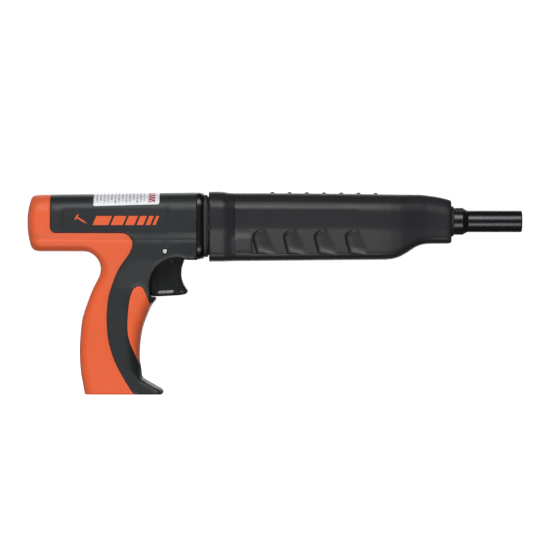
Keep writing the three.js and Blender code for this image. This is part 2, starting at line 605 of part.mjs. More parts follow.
// ---------------------------------------------------------------- barrel, muzzle and piston
function barrelParts() {
  const flangeX = 88;
  const barrel = cut(
    turned([[BARREL_BACK_X, 3.7], [BARREL_BACK_X, BARREL_R], [flangeX, BARREL_R],
      [flangeX, 18], [92, 18], [92, 13.2], [BARREL_FRONT_X, 13.2], [BARREL_FRONT_X, 11.8],
      [84, 11.8], [84, NAIL_BORE_R], [10, NAIL_BORE_R], [10, PISTON_BORE_R],
      [-98, PISTON_BORE_R], [-98, CHAMBER_R], [-113, CHAMBER_R], [-113, 3.7]]),
    block(PAWL.x0 - 0.6 - OPEN_TRAVEL, PAWL.x1 + 0.6 + PRESS_TRAVEL, -PAWL.half - 0.5,
      PAWL.half + 0.5, BORE_Z - 30, BORE_Z - 9.5),
  );
  const neckR = 10.8;
  const tipR = 8.75;
  const flat = 10.15; // half the distance across each pair of wrench flats
  const wrenchFlats = [62, 118, 242, 298].map((turn) =>
    block(143.3, 150.6, flat, 20, -20, 20).rotate([turn, 0, 0]).translate([0, 0, BORE_Z]));
  const muzzle = cut(
    turned([[84.3, NAIL_BORE_R], [84.3, 11.4], [100.4, 11.4], [100.4, 13.2], [128.6, 13.2],
      [128.6, neckR], [150.6, neckR], [153.9, tipR], [MUZZLE_X - 0.6, tipR],
      [MUZZLE_X, tipR - 0.6], [MUZZLE_X, NAIL_BORE_R + 0.6], [MUZZLE_X - 0.6, NAIL_BORE_R]]),
    ...wrenchFlats,
  );
  const buffer = turned([[4, NAIL_BORE_R + 0.1], [4, 7.7], [9.7, 7.7], [9.7, NAIL_BORE_R + 0.1]]);
  const muzzleSpring = coil(16.75, 0.9, 39.8, 7, "x", new THREE.Vector3(67.8, 0, BORE_Z), 10);
  const piston = turned([[-97.4, 0], [-97.4, 7.2], [-96.8, 7.7], [-93.3, 7.7], [-93.3, 6.2],
    [-90.7, 6.2], [-90.7, 7.7], [-79.4, 7.7], [-79, 7.2], [-79, 3.9], [114, 3.9], [114.6, 3.3],
    [114.6, 0]]);
  const pistonRing = turned([[-93, 6.6], [-93, 7.8], [-91, 7.8], [-91, 6.6]])
    .subtract(block(-94, -90, -0.6, 0.6, BORE_Z, BORE_Z + 10));
  return {
    barrel: [barrel, blackSteel],
    muzzle: [muzzle, blackSteel],
    piston_buffer: [buffer, bufferRubber],
    muzzle_spring: [muzzleSpring, springSteel],
    piston: [piston, brightSteel],
    piston_ring: [pistonRing, springSteel],
  };
}

// ---------------------------------------------------------------- fasteners
function screw(x, z) {
  const { headR, headH, shankR, seatY, endY } = SCREW;
  const head = barY(headR, seatY + GAP, seatY + GAP + headH, x, z);
  const shank = barY(shankR, endY, seatY + GAP + 0.5, x, z, 10);
  const socket = barY(1.6, seatY + GAP + headH - 1.4, seatY + 10, x, z, 6);
  return union(head, shank).subtract(socket);
}

function screwParts() {
  const named = (kind, places) =>
    places.map(([x, z], i) => [`${kind}_screw_${i + 1}`, [screw(x, z), brightSteel]]);
  return Object.fromEntries([
    ...named("handle", HANDLE_SCREWS),
    ...named("foregrip", FOREGRIP_SCREWS),
  ]);
}

// ---------------------------------------------------------------- the whole tool
function meshes(parts) {
  const group = new THREE.Group();
  for (const [name, [body, material]] of Object.entries(parts)) {
    const mesh = new THREE.Mesh(geometryOf(mainBody(body)), material);
    mesh.name = name;
    group.add(mesh);
  }
  return group;
}

const nailGun = new THREE.Group();
nailGun.add(
  meshes(handleParts()),
  meshes(receiverParts()),
  meshes(firingParts()),
  meshes(triggerPart()),
  meshes(pawlParts()),
  meshes(foregripParts()),
  meshes(barrelParts()),
  meshes(screwParts()),
);

export default nailGun;
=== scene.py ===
"""The looks of a powder-actuated nail gun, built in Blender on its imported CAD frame.

Moulded pieces are reliefs: a flat plan in x and z, cut by the seams, is raised to a height field on
each side of the tool's middle plane. Turned pieces are lathed round the bore axis. Lengths are in
millimetres until a mesh is made, and places come from the frame's own boxes.
"""

import math

import bmesh
import bpy
import numpy as np
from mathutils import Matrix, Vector
from mathutils.geometry import delaunay_2d_cdt


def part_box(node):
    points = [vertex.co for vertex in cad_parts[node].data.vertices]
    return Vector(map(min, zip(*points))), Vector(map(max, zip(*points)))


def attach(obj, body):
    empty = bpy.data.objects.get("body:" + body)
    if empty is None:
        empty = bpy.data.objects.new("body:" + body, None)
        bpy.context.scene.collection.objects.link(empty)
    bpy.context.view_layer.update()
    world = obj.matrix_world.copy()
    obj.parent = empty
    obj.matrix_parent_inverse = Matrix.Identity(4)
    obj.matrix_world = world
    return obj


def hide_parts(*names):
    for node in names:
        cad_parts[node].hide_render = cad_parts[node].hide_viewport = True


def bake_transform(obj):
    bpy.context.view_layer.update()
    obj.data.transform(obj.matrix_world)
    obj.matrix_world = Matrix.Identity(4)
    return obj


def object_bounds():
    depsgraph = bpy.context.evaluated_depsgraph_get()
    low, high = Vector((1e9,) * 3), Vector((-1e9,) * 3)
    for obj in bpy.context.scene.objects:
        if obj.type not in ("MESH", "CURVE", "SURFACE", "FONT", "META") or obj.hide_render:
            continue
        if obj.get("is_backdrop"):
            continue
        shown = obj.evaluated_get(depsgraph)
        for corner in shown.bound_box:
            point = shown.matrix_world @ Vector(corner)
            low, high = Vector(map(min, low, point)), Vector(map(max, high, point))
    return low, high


MM = 0.001
SEAM = 0.15  # each half stops this far short of the middle plane
GROOVE = 0.4  # width of the groove between two moulded colours
GROOVE_DEPTH = 1.3
WALL = 3.1  # thickness of the moulded shells
THINNEST = 0.3  # least thickness of a relief
EDGE_ROUND = 0.5  # rounding along the edges of a groove or a recess
FAR = 300.0  # well outside the tool
SIDES = {"right": -1, "left": 1}  # the sign of y on each side

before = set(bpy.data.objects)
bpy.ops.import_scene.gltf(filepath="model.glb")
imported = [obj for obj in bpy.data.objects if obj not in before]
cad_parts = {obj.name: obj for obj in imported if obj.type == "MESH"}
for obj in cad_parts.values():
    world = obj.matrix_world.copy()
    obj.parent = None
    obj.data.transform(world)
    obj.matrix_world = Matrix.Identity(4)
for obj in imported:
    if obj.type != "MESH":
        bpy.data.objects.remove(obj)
cad_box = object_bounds()


def corner(node, end):
    """A CAD node's lowest (0) or highest (1) corner in millimetres."""
    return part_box(node)[end] / MM


def middle(node):
    """The centre of a CAD node's box in millimetres."""
    return (corner(node, 0) + corner(node, 1)) / 2


BACK_X = corner("rear_overmould_right", 0).x
SHELL_FRONT_X = corner("handle_right", 1).x
SHELL_HALF_WIDTH = -corner("handle_right", 0).y
MUZZLE_X = corner("muzzle", 1).x
BORE_Z = middle("muzzle").z
GRIP_BACK_X = corner("foregrip_right", 0).x
GRIP_FRONT_X = corner("foregrip_right", 1).x
GRIP_HALF_WIDTH = -corner("foregrip_right", 0).y
TRIGGER_HALF_WIDTH = -corner("trigger", 0).y
TRIGGER_PIVOT = middle("trigger_pin")
HANDLE_SCREWS = [middle(f"handle_screw_{i}") for i in range(1, 5)]
GRIP_SCREWS = [middle(f"foregrip_screw_{i}") for i in range(1, 4)]
SCREW_SEAT = {"r": 3.6, "y": 9.1}  # the round recess in the left half that a screw's head sits in


# ------------------------------------------------------------------ curves in the side plane


def turn_angles(count):
    """Evenly spread angles round a circle."""
    return np.arange(count) * 2 * np.pi / count


def spline(points, spacing=1.6):
    """Points about spacing apart on a Catmull-Rom curve through the given ones."""
    p = np.array(points, float)
    p = np.vstack([2 * p[0] - p[1], p, 2 * p[-1] - p[-2]])
    out = []
    for a, b, c, d in zip(p, p[1:], p[2:], p[3:]):
        steps = max(1, round(np.linalg.norm(c - b) / spacing))
        for t in np.arange(steps) / steps:
            bend = (2 * a - 5 * b + 4 * c - d) * t**2 + (3 * b - a - 3 * c + d) * t**3
            out.append((2 * b + (c - a) * t + bend) / 2)
    return np.array(out + [p[-2]])


def straight(a, b, spacing=2.0):
    """Points about spacing apart on a straight line."""
    steps = max(1, round(math.dist(a, b) / spacing))
    return np.linspace(a, b, steps + 1)


def arc(x, z, r, start, end, spacing=1.5):
    """Points on an arc from one angle to another, in degrees from +X towards +Z."""
    steps = max(3, round(abs(math.radians(end - start)) * r / spacing))
    a = np.radians(np.linspace(start, end, steps + 1))
    return np.column_stack([x + r * np.cos(a), z + r * np.sin(a)])


def joined(*runs):
    """One line from several runs, without the points that meet."""
    points = np.vstack(runs)
    step = np.linalg.norm(np.diff(points, axis=0), axis=1)
    return points[np.append(True, step > 0.05)]


def rounded_box(x0, x1, z0, z1, r, spacing=0.6):
    """A closed loop of four rounded corners and the sides between them."""
    quarters = [
        (x1 - r, z1 - r, 0),
        (x0 + r, z1 - r, 90),
        (x0 + r, z0 + r, 180),
        (x1 - r, z0 + r, 270),
    ]
    corners = [arc(x, z, r, start, start + 90, spacing) for x, z, start in quarters]
    sides = [straight(a[-1], b[0], 1.5) for a, b in zip(corners, corners[1:] + corners[:1])]
    return joined(*[run for pair in zip(corners, sides) for run in pair])[:-1]


def circle(x, z, r):
    a = turn_angles(28)
    return np.column_stack([x + r * np.cos(a), z + r * np.sin(a)])


def distance(points, line):
    """How far each point lies from a line of segments."""
    best = np.full(len(points), np.inf)
    for a, b in zip(line, line[1:]):
        along = b - a
        t = np.clip((points - a) @ along / max(along @ along, 1e-12), 0, 1)
        best = np.minimum(best, np.linalg.norm(points - a - t[:, None] * along, axis=1))
    return best


def inside(points, loop):
    """Which points a closed loop holds."""
    x, z = points[:, 0], points[:, 1]
    odd = np.zeros(len(points), bool)
    for (x0, z0), (x1, z1) in zip(loop, np.roll(loop, -1, axis=0)):
        if z0 != z1:
            odd ^= ((z0 > z) != (z1 > z)) & (x < x0 + (z - z0) * (x1 - x0) / (z1 - z0))
    return odd


def closed(loop):
    """A loop as a line that ends at its first point."""
    return np.vstack([loop, loop[:1]])


def offset(line, amount):
    """The line moved sideways, to the right of its own direction where amount is positive."""
    ahead = np.gradient(line, axis=0)
    ahead /= np.linalg.norm(ahead, axis=1)[:, None]
    return line + amount * np.column_stack([ahead[:, 1], -ahead[:, 0]])


def ramp(value, low, high):
    """0 below low and 1 above high, with a smooth rise between them."""
    t = np.clip((value - low) / (high - low), 0, 1)
    return t * t * (3 - 2 * t)


def bulge(t):
    """A quarter ellipse from 0 at the rim to 1."""
    return np.sqrt(1 - (1 - np.clip(t, 0, 1)) ** 2)


def rim(distances, width, least):
    """A rounded rim that starts at least, as a share of the full height."""
    return least + (1 - least) * bulge(distances / width)


# ------------------------------------------------------------------ meshes


def new_piece(name, mesh, material, sharp=None):
    """An object of a smooth mesh, whose edges over sharp degrees stay sharp, with its material."""
    mesh.polygons.foreach_set("use_smooth", np.ones(len(mesh.polygons), bool))
    if sharp:
        mesh.set_sharp_from_angle(angle=math.radians(sharp))
    mesh.materials.append(material)
    piece = bpy.data.objects.new(name, mesh)
    bpy.context.scene.collection.objects.link(piece)
    return piece


def finish_mesh(name, mesh, material, body, nodes, slot, sharp=34.0):
    """Sets a mesh on its body in place of its CAD nodes."""
    piece = new_piece(name, mesh, material, sharp)
    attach(piece, body)
    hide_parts(*nodes)


def closed_mesh(name, points, faces):
    """A mesh from points in millimetres and faces, with every face turned outwards."""
    mesh = bpy.data.meshes.new(name)
    places = [tuple(p) for p in np.asarray(points) * MM]
    mesh.from_pydata(places, [], [tuple(map(int, f)) for f in faces])
    work = bmesh.new()
    work.from_mesh(mesh)
    bmesh.ops.recalc_face_normals(work, faces=work.faces)
    work.to_mesh(mesh)
    work.free()
    return mesh


class Plan:
    """A triangulated plan in x and z, whose triangles each carry the name of the area they are in,
    or "body" where they are in none."""

    def __init__(self, outline, areas, lines, rings, grids):
        """areas: name to closed loop, later ones lie on top. lines: extra edges. rings: (line, list
        of distances, spacing). grids: (x0, x1, z0, z1, spacing) blocks of evenly spread points."""
        self.outline = outline
        points, edges = [], []
        loops = [outline, *areas.values()]
        for line, closes in [(k, True) for k in loops] + [(k, False) for k in lines]:
            first = len(points)
            points.extend(line)
            edges.extend((first + i, first + i + 1) for i in range(len(line) - 1))
            if closes:
                edges.append((len(points) - 1, first))
        taken = {}
        for p in points:
            self._claim(taken, p, 0.0)
        for candidates, least in self._samples(rings, grids):
            points.extend(p for p in candidates if self._claim(taken, p, least))
        flat = [Vector(p) for p in points]
        found = delaunay_2d_cdt(flat, edges, [], 0, 1e-4, False)
        self.points = np.array([tuple(v) for v in found[0]])
        triangles = np.array([f for f in found[2] if len(f) == 3])
        middles = self.points[triangles].mean(axis=1)
        within = inside(middles, outline)
        self.triangles, middles = triangles[within], middles[within]
        self.areas = np.full(len(self.triangles), "body", object)
        for name, loop in areas.items():
            self.areas[inside(middles, loop)] = name

    @staticmethod
    def _claim(taken, p, least):
        """Notes a point unless another one lies closer than least."""
        cell = (math.floor(p[0]), math.floor(p[1]))
        for i in (-2, -1, 0, 1, 2):
            for j in (-2, -1, 0, 1, 2):
                for q in taken.get((cell[0] + i, cell[1] + j), ()):
                    if math.hypot(p[0] - q[0], p[1] - q[1]) < least:
                        return False
        taken.setdefault(cell, []).append((p[0], p[1]))
        return True

    def _samples(self, rings, grids):
        """Candidate points beside the rings and over the grids, with the least gap each set keeps."""
        for line, steps, spacing in rings:
            even = spline(line[:: max(1, len(line) // 400)], spacing)
            for step in steps:
                for side in (step, -step):
                    p = offset(even, side)
                    p = p[inside(p, self.outline)]
                    p = p[distance(p, line) > 0.93 * step]
                    yield p, min(0.45 * spacing, 0.4 + 0.3 * step)
        for x0, x1, z0, z1, spacing in grids:
            x, z = np.meshgrid(np.arange(x0, x1, float(spacing)), np.arange(z0, z1, spacing * 0.87))
            x[1::2] += spacing / 2
            p = np.column_stack([x.ravel(), z.ravel()])
            p = p[inside(p, self.outline)]
            yield p, 0.7 * spacing


def relief(name, plan, levels, floor, side):
    """The closed mesh of the plan's areas named in levels, each raised to its own height field and
    closed underneath at floor. Other areas stay open. side is the sign of y."""
    kept = [i for i, area in enumerate(plan.areas) if area in levels]
    triangles, areas = plan.triangles[kept], plan.areas[kept]
    heights = {area: field(plan.points) for area, field in levels.items()}
    lowest = np.min(list(heights.values()), axis=0)
    under = np.maximum(np.minimum(floor(plan.points), lowest - THINNEST), SEAM)
    points, index, faces = [], {}, []

    def vertex(layer, v):
        if (layer, v) not in index:
            x, z = plan.points[v]
            height = under[v] if layer == "under" else max(heights[layer][v], under[v] + 0.05)
            index[layer, v] = len(points)
            points.append((x, side * height, z))
        return index[layer, v]

    borders = {}
    for (a, b, c), area in zip(triangles, areas):
        faces.append([vertex(area, v) for v in (a, b, c)])
        faces.append([vertex("under", v) for v in (c, b, a)])
        for u, v in ((a, b), (b, c), (c, a)):
            borders.setdefault((min(u, v), max(u, v)), []).append(area)
    for (u, v), owners in borders.items():
        if len(owners) == 1:
            owners.append("under")
        near, far = owners
        if near != far:
            faces.append([vertex(near, u), vertex(near, v), vertex(far, v), vertex(far, u)])
    return closed_mesh(name, points, faces)


def bands(rows, count, closes=False):
    """The faces between rings of count points that follow one another. Where closes is set, the
    last ring joins the first."""
    faces = []
    for row in range(rows if closes else rows - 1):
        a, b = row * count, (row + 1) % rows * count
        for i in range(count):
            j = (i + 1) % count
            faces.append([a + i, a + j, b + j, b + i])
    return faces


def caps(rows, count):
    """The two end faces of such a stack of rings."""
    last = (rows - 1) * count
    return [list(reversed(range(count))), [last + i for i in range(count)]]


def lathe(name, profile, segments):
    """The closed mesh of a closed loop of (x, r) points turned round the bore axis."""
    points = []
    for x, r in profile:
        points.extend((x, r * math.cos(t), BORE_Z + r * math.sin(t)) for t in turn_angles(segments))
    return closed_mesh(name, points, bands(len(profile), segments, closes=True))


# ------------------------------------------------------------------ materials


class Shader:
    """A principled material with helpers for procedural nodes in object coordinates."""

    def __init__(self, name, color, roughness, metallic=0.0):
        self.material = bpy.data.materials.new(name)
        self.material.use_nodes = True
        self.tree = self.material.node_tree
        self.shader = self.tree.nodes["Principled BSDF"]
        self.set("Base Color", (*color, 1))
        self.set("Roughness", roughness)
        self.set("Metallic", metallic)
        self.color = color
        self.place = self.tree.nodes.new("ShaderNodeTexCoord").outputs["Object"]

    def set(self, socket, value):
        self.shader.inputs[socket].default_value = value

    def link(self, output, socket):
        self.tree.links.new(output, socket)

    def node(self, kind, inputs=(), **settings):
        made = self.tree.nodes.new(kind)
        for key, value in settings.items():
            setattr(made, key, value)
        for key, value in dict(inputs).items():
            if isinstance(value, bpy.types.NodeSocket):
                self.link(value, made.inputs[key])
            else:
                made.inputs[key].default_value = value
        return made

    def noise(self, scale, detail, stretch=(1, 1, 1)):
        """Noise whose grains are about 1/scale metres across."""
        mapped = self.node("ShaderNodeMapping", {"Vector": self.place, "Scale": stretch}).outputs[0]
        inputs = {"Vector": mapped, "Scale": scale, "Detail": detail, "Roughness": 0.55}
        return self.node("ShaderNodeTexNoise", inputs).outputs["Fac"]

    def math(self, operation, a, b=0.0):
        return self.node("ShaderNodeMath", {0: a, 1: b}, operation=operation).outputs[0]

    def mix(self, factor, low, high):
        """Sets the base colour to a mix of two, where low is a colour or another socket."""
        mixed = self.node("ShaderNodeMix", {"Factor": factor, "A": low}, data_type="RGBA")
        mixed.inputs["B"].default_value = high
        self.link(mixed.outputs["Result"], self.shader.inputs["Base Color"])
        return mixed.outputs["Result"]

    def tint(self, factor, low, high):
        """Colour between two multiples of the base colour."""
        shades = [(*[c * share for c in self.color], 1) for share in (low, high)]
        return self.mix(factor, *shades)

    def rough(self, noise, low, high):
        """Roughness that follows a noise from low to high."""
        inputs = {"Value": noise, "From Min": 0.25, "From Max": 0.75, "To Min": low, "To Max": high}
        spread = self.node("ShaderNodeMapRange", inputs).outputs["Result"]
        self.link(spread, self.shader.inputs["Roughness"])

    def bump(self, height, depth_mm, strength=1.0):
        inputs = {"Height": height, "Distance": depth_mm * MM, "Strength": strength}
        self.link(self.node("ShaderNodeBump", inputs).outputs[0], self.shader.inputs["Normal"])


def moulded_plastic(name, color, grain_mm, depth_mm, roughness):
    """Spark-eroded moulded nylon: a fine grain, a cloudy colour and patches polished by handling."""
    m = Shader(name, color, roughness)
    m.tint(m.noise(60.0, 5.0), 0.88, 1.12)
    m.rough(m.noise(18.0, 4.0), roughness - 0.07, roughness + 0.08)
    m.bump(m.noise(1000 / grain_mm, 2.0), depth_mm)
    m.set("Specular IOR Level", 0.45)
    return m


def soft_orange():
    """Matt thermoplastic rubber with a very fine grain and slightly deeper colour in patches."""
    m = Shader("soft_orange", (0.84, 0.125, 0.034), 0.46)
    m.tint(m.noise(45.0, 4.0), 0.95, 1.04)
    m.rough(m.noise(25.0, 3.0), 0.4, 0.54)
    m.bump(m.noise(2600.0, 2.0), 0.03)
    m.set("Specular IOR Level", 0.4)
    m.set("Sheen Weight", 0.12)
    m.set("Sheen Roughness", 0.5)
    return m


def gloss_black():
    """Polished moulding with a clear, slightly wavy surface."""
    m = Shader("gloss_black", (0.012, 0.013, 0.014), 0.16)
    m.tint(m.noise(70.0, 4.0), 0.85, 1.2)
    m.rough(m.noise(40.0, 5.0, (1, 1, 3)), 0.1, 0.26)
    m.bump(m.noise(420.0, 3.0), 0.004)
    m.set("Coat Weight", 0.35)
    m.set("Coat Roughness", 0.08)
    return m


def turned_steel(name, color, roughness, streak=0.3):
    """Steel with fine rings from turning and a cloudy oxide."""
    m = Shader(name, color, roughness, 1.0)
    rings = m.noise(900.0, 4.0, (6, 0.4, 0.4))
    m.tint(m.noise(55.0, 5.0), 1 - streak, 1 + streak)
    m.rough(rings, roughness - 0.08, roughness + 0.1)
    m.bump(rings, 0.006)
    return m


def black_rubber():
    """Dull rubber with a coarse skin."""
    m = Shader("black_rubber", (0.02, 0.021, 0.022), 0.62)
    m.tint(m.noise(80.0, 4.0), 0.8, 1.25)
    m.rough(m.noise(30.0, 3.0), 0.52, 0.72)
    m.bump(m.noise(1500.0, 3.0), 0.03)
    return m


def buffer_rubber():
    """Amber polyurethane."""
    m = Shader("buffer_rubber", (0.42, 0.28, 0.05), 0.5)
    m.tint(m.noise(90.0, 4.0), 0.85, 1.15)
    m.rough(m.noise(60.0, 3.0), 0.42, 0.6)
    m.bump(m.noise(900.0, 3.0), 0.02)
    return m


def spring_wire():
    """Drawn steel wire."""
    m = Shader("spring_wire", (0.45, 0.45, 0.46), 0.3, 1.0)
    m.tint(m.noise(200.0, 4.0), 0.8, 1.15)
    m.rough(m.noise(300.0, 3.0), 0.22, 0.4)
    m.bump(m.noise(1200.0, 2.0), 0.01)
    return m


WRAP_R = 21.0  # the label's print is measured along this radius
WRAP_Z = 140.0  # about an axis at this height
COLUMN_PITCH = 2.9  # of the columns of dashes
STRIPE_PITCH = 2.6  # of the red stripes


def printed_vinyl(x0, x1, z0):
    """White satin vinyl with columns of plain grey dashes and a block of slanted red stripes, which
    aren't words. The print is laid out in x and in wrap, the distance round the body."""
    start = WRAP_R * math.atan2(z0 - WRAP_Z, SHELL_HALF_WIDTH)
    m = Shader("printed_vinyl", (0.86, 0.87, 0.9), 0.34)
    axes = m.node("ShaderNodeSeparateXYZ", {0: m.place})
    x = axes.outputs["X"]
    rise = m.math("SUBTRACT", axes.outputs["Z"], WRAP_Z * MM)
    angle = m.math("ARCTAN2", rise, m.math("MULTIPLY", axes.outputs["Y"], -1.0))
    wrap = m.math("MULTIPLY", angle, WRAP_R * MM)

    def between(value, low, high):
        above = m.math("GREATER_THAN", value, low)
        return m.math("MULTIPLY", above, m.math("LESS_THAN", value, high))

    column = m.math("DIVIDE", m.math("SUBTRACT", x, (x0 + 2.2) * MM), COLUMN_PITCH * MM)
    in_column = m.math("LESS_THAN", m.math("FRACT", column), 0.5)
    number = m.math("FLOOR", column)
    seed = m.node("ShaderNodeCombineXYZ", {"X": m.math("MULTIPLY", number, 7.3), "Z": wrap})
    dash_inputs = {"Vector": seed.outputs[0], "Scale": 900.0, "Detail": 1.0}
    dashes = m.node("ShaderNodeTexNoise", dash_inputs).outputs["Fac"]
    inked = m.math("GREATER_THAN", dashes, 0.46)
    sway = m.math("MULTIPLY", m.math("SINE", m.math("MULTIPLY", number, 2.1)), 1.2 * MM)
    column_foot = m.math("ADD", sway, (start + 3.4) * MM)
    in_print = m.math("GREATER_THAN", wrap, column_foot)
    before_block = m.math("LESS_THAN", x, (x1 - 11.5) * MM)
    ink = m.math("MULTIPLY", in_column, inked)
    ink = m.math("MULTIPLY", ink, m.math("MULTIPLY", in_print, before_block))
    paper = m.tint(m.noise(120.0, 3.0), 0.97, 1.02)
    text = m.mix(m.math("MULTIPLY", ink, 0.62), paper, (0.17, 0.17, 0.2, 1))

    slant = m.math("ADD", wrap, m.math("MULTIPLY", x, 0.5))
    stripe = m.math("FRACT", m.math("DIVIDE", slant, STRIPE_PITCH * MM))
    in_block = between(x, (x1 - 8.6) * MM, (x1 - 3.4) * MM)
    red = m.math("MULTIPLY", in_block, m.math("LESS_THAN", stripe, 0.72))
    red = m.math("MULTIPLY", red, between(wrap, (start + 3.0) * MM, (start + 26.0) * MM))
    m.mix(red, text, (0.42, 0.02, 0.05, 1))
    m.rough(m.noise(50.0, 3.0), 0.28, 0.42)
    m.bump(ink, 0.01, 0.3)
    return m


BLACK = moulded_plastic("black_nylon", (0.0115, 0.0145, 0.0165), 0.42, 0.03, 0.44)
GRIP_BLACK = moulded_plastic("foregrip_nylon", (0.0125, 0.0135, 0.0155), 0.5, 0.035, 0.4)
ORANGE = soft_orange()
GLOSS = gloss_black()
RUBBER = black_rubber()
BUFFER = buffer_rubber()
WIRE = spring_wire()
BLACK_STEEL = turned_steel("black_steel", (0.1, 0.1, 0.105), 0.3)
RING_STEEL = turned_steel("ring_steel", (0.045, 0.047, 0.05), 0.3)
SCREW_STEEL = turned_steel("screw_steel", (0.42, 0.42, 0.43), 0.36, 0.12)
MUZZLE_STEEL = turned_steel("muzzle_steel", (0.052, 0.051, 0.055), 0.26, 0.12)
PIN_STEEL = turned_steel("pin_steel", (0.75, 0.75, 0.75), 0.5, 0.05)
BRIGHT_STEEL = turned_steel("bright_steel", (0.55, 0.56, 0.57), 0.28, 0.12)


# ------------------------------------------------------------------ handle

POCKET = {"x": -77.1, "z": 86.6, "r": 22.1}
WEB = {"x": -152.8, "z": 99.9, "r": 13.9}
LEDGE_Z = 122.9
STEP_WIDTH = 0.35  # the ledge rises over this height
SHELL_BOTTOM_Z = 113.9
CHEEK_BOTTOM_Z = 107.0
TOP_BACK_Z = 158.9
TOP_FRONT_Z = 160.8
TRIGGER_SLOT = {"x0": -105.6, "x1": -69.5, "z0": 74.5, "z1": 112, "half": 8.7}
DOME = {"r": 64.3, "z": 136.7, "x1": -150, "z0": 105}  # the round back end, seen from the side
PANEL = rounded_box(-167.5, -84.9, 130, 147.4, 2)
PORT = rounded_box(-111, -77, BORE_Z - 7.5, BORE_Z + 7.5, 3)


def shell_top(x):
    """The height of the body's top line, which rises a little towards the front."""
    return TOP_BACK_Z + (TOP_FRONT_Z - TOP_BACK_Z) * (x - BACK_X) / (SHELL_FRONT_X - BACK_X)


REAR_DOME = spline(
    [(-186, shell_top(-186)), (-189.3, 158.8), (-191.8, 158.1), (-193.9, 156.3), (-195.3, 152.8),
     (-196.5, 147.5), (BACK_X + 0.1, 142), (BACK_X, 136.5), (BACK_X + 0.2, 131), (-196.3, 125),
     (-195.2, 120.5), (-193.9, 117.3), (-191.7, 115), (-189.2, 114.05), (-186, SHELL_BOTTOM_Z)], 1.0)
GRIP_BACK = joined(
    straight((-186, SHELL_BOTTOM_Z), (WEB["x"], SHELL_BOTTOM_Z)),
    arc(WEB["x"], WEB["z"], WEB["r"], 90, 0),
    spline([(-138.9, 99.9), (-139.4, 96), (-141.3, 91.5), (-143.8, 86.8), (-145.9, 82.3),
            (-149.3, 73.5), (-152.3, 64.6), (-154.2, 57.1), (-155.4, 45), (-155.8, 33), (-154.9, 18),
            (-152.6, 5), (-151.8, 0)]))
GRIP_FRONT = joined(
    spline([(-89.9, 0), (-89.5, 1.4), (-91, 3.9), (-94.7, 6.1), (-101.1, 9.8), (-105, 12.1)], 0.8),
    spline([(-105.8, 12.8), (-106.6, 14.4), (-107.1, 20), (-108.1, 27), (-108.2, 34), (-107.3, 44.6),
            (-105.5, 53.4), (-102.5, 62.2), (-99, 70.4), (-97.8, 72.2)]))
TRIGGER_POCKET = joined(
    straight((-97.8, 72.2), (-95.1, 76.2), 1.0),
    straight((-95.1, 76.2), (-96.4, 77.5), 0.8),
    straight((-96.4, 77.5), (POCKET["x"] - POCKET["r"], 77.7), 0.8),
    arc(POCKET["x"], POCKET["z"], POCKET["r"], 180, 90, 1.2),
    spline([(-77.1, 108.7), (-74, 108.1), (-71.5, 107.2), (-69, CHEEK_BOTTOM_Z)], 1.0),
    straight((-69, CHEEK_BOTTOM_Z), (SHELL_FRONT_X, CHEEK_BOTTOM_Z)))
HANDLE_OUTLINE = joined(
    straight((SHELL_FRONT_X, TOP_FRONT_Z), (-186, shell_top(-186)), 2.5),
    REAR_DOME,
    GRIP_BACK,
    straight((-151.8, 0), (-89.9, 0)),
    GRIP_FRONT,
    TRIGGER_POCKET,
    straight((SHELL_FRONT_X, CHEEK_BOTTOM_Z), (SHELL_FRONT_X, TOP_FRONT_Z)))[:-1]

REAR_SEAM = joined(
    straight((-178.5, 165), (-178.5, 133), 2.5),
    arc(-174, 132.8, 4.5, 180, 270, 0.8),
    straight((-174, 128.3), (-121.5, 128.2), 2.5),
    spline([(-121.5, 128.2), (-118.4, 127.4), (-115.2, 125.1), (-113.4, 121.9), (-113.4, 117.4),
            (-116.2, 111.2), (-119.8, 106.2), (-124.2, 99.6), (-127.7, 91.8), (-130.2, 84.9),
            (-132.5, 76.5), (-133.6, 67), (-133.8, 58), (-133.1, 47.5), (-131.8, 39.8),
            (-129.8, 32.8), (-127.2, 25.8), (-123.8, 18.9), (-119.4, 11.1), (-115.5, 5), (-111.4, -1)]),
    straight((-111.4, -1), (-108, -6)))
FRONT_SEAM = joined(
    spline([(-94, 64.8), (-98.2, 69.6), (-100.8, 74.9), (-102.5, 79.7), (-104.6, 84), (-106.2, 85.6),
            (-108.2, 85.9), (-111.2, 84.9), (-113.3, 82.2), (-115.1, 77), (-116.4, 69.3),
            (-117.1, 60.6), (-117.3, 53.6), (-116.8, 47.5), (-115.1, 40.6), (-112.9, 35.4),
            (-110.7, 30.2), (-108.2, 25), (-105.5, 19)], 1.2))
REAR_GROOVE = offset(REAR_SEAM, -GROOVE)  # the black side of the groove along each seam
FRONT_GROOVE = offset(FRONT_SEAM, GROOVE)


def handle_width(z):
    """Half-width of the flat of the side: a round body over a ledge, then the cheek and the grip."""
    rise = np.sin(np.clip((z - LEDGE_Z) / 7, 0, 1) * np.pi / 2)
    round_body = 20.5 + (SHELL_HALF_WIDTH - 20.5) * rise
    up = [0, 10, 30, 60, 84, 96, 107, 122]
    low = np.interp(z, up, [18.7, 17.9, 17.3, 17.3, 18.2, 19.9, 21.5, 22.1])
    return np.where(z > LEDGE_Z + STEP_WIDTH, round_body, np.where(z > LEDGE_Z, 21.4, low))


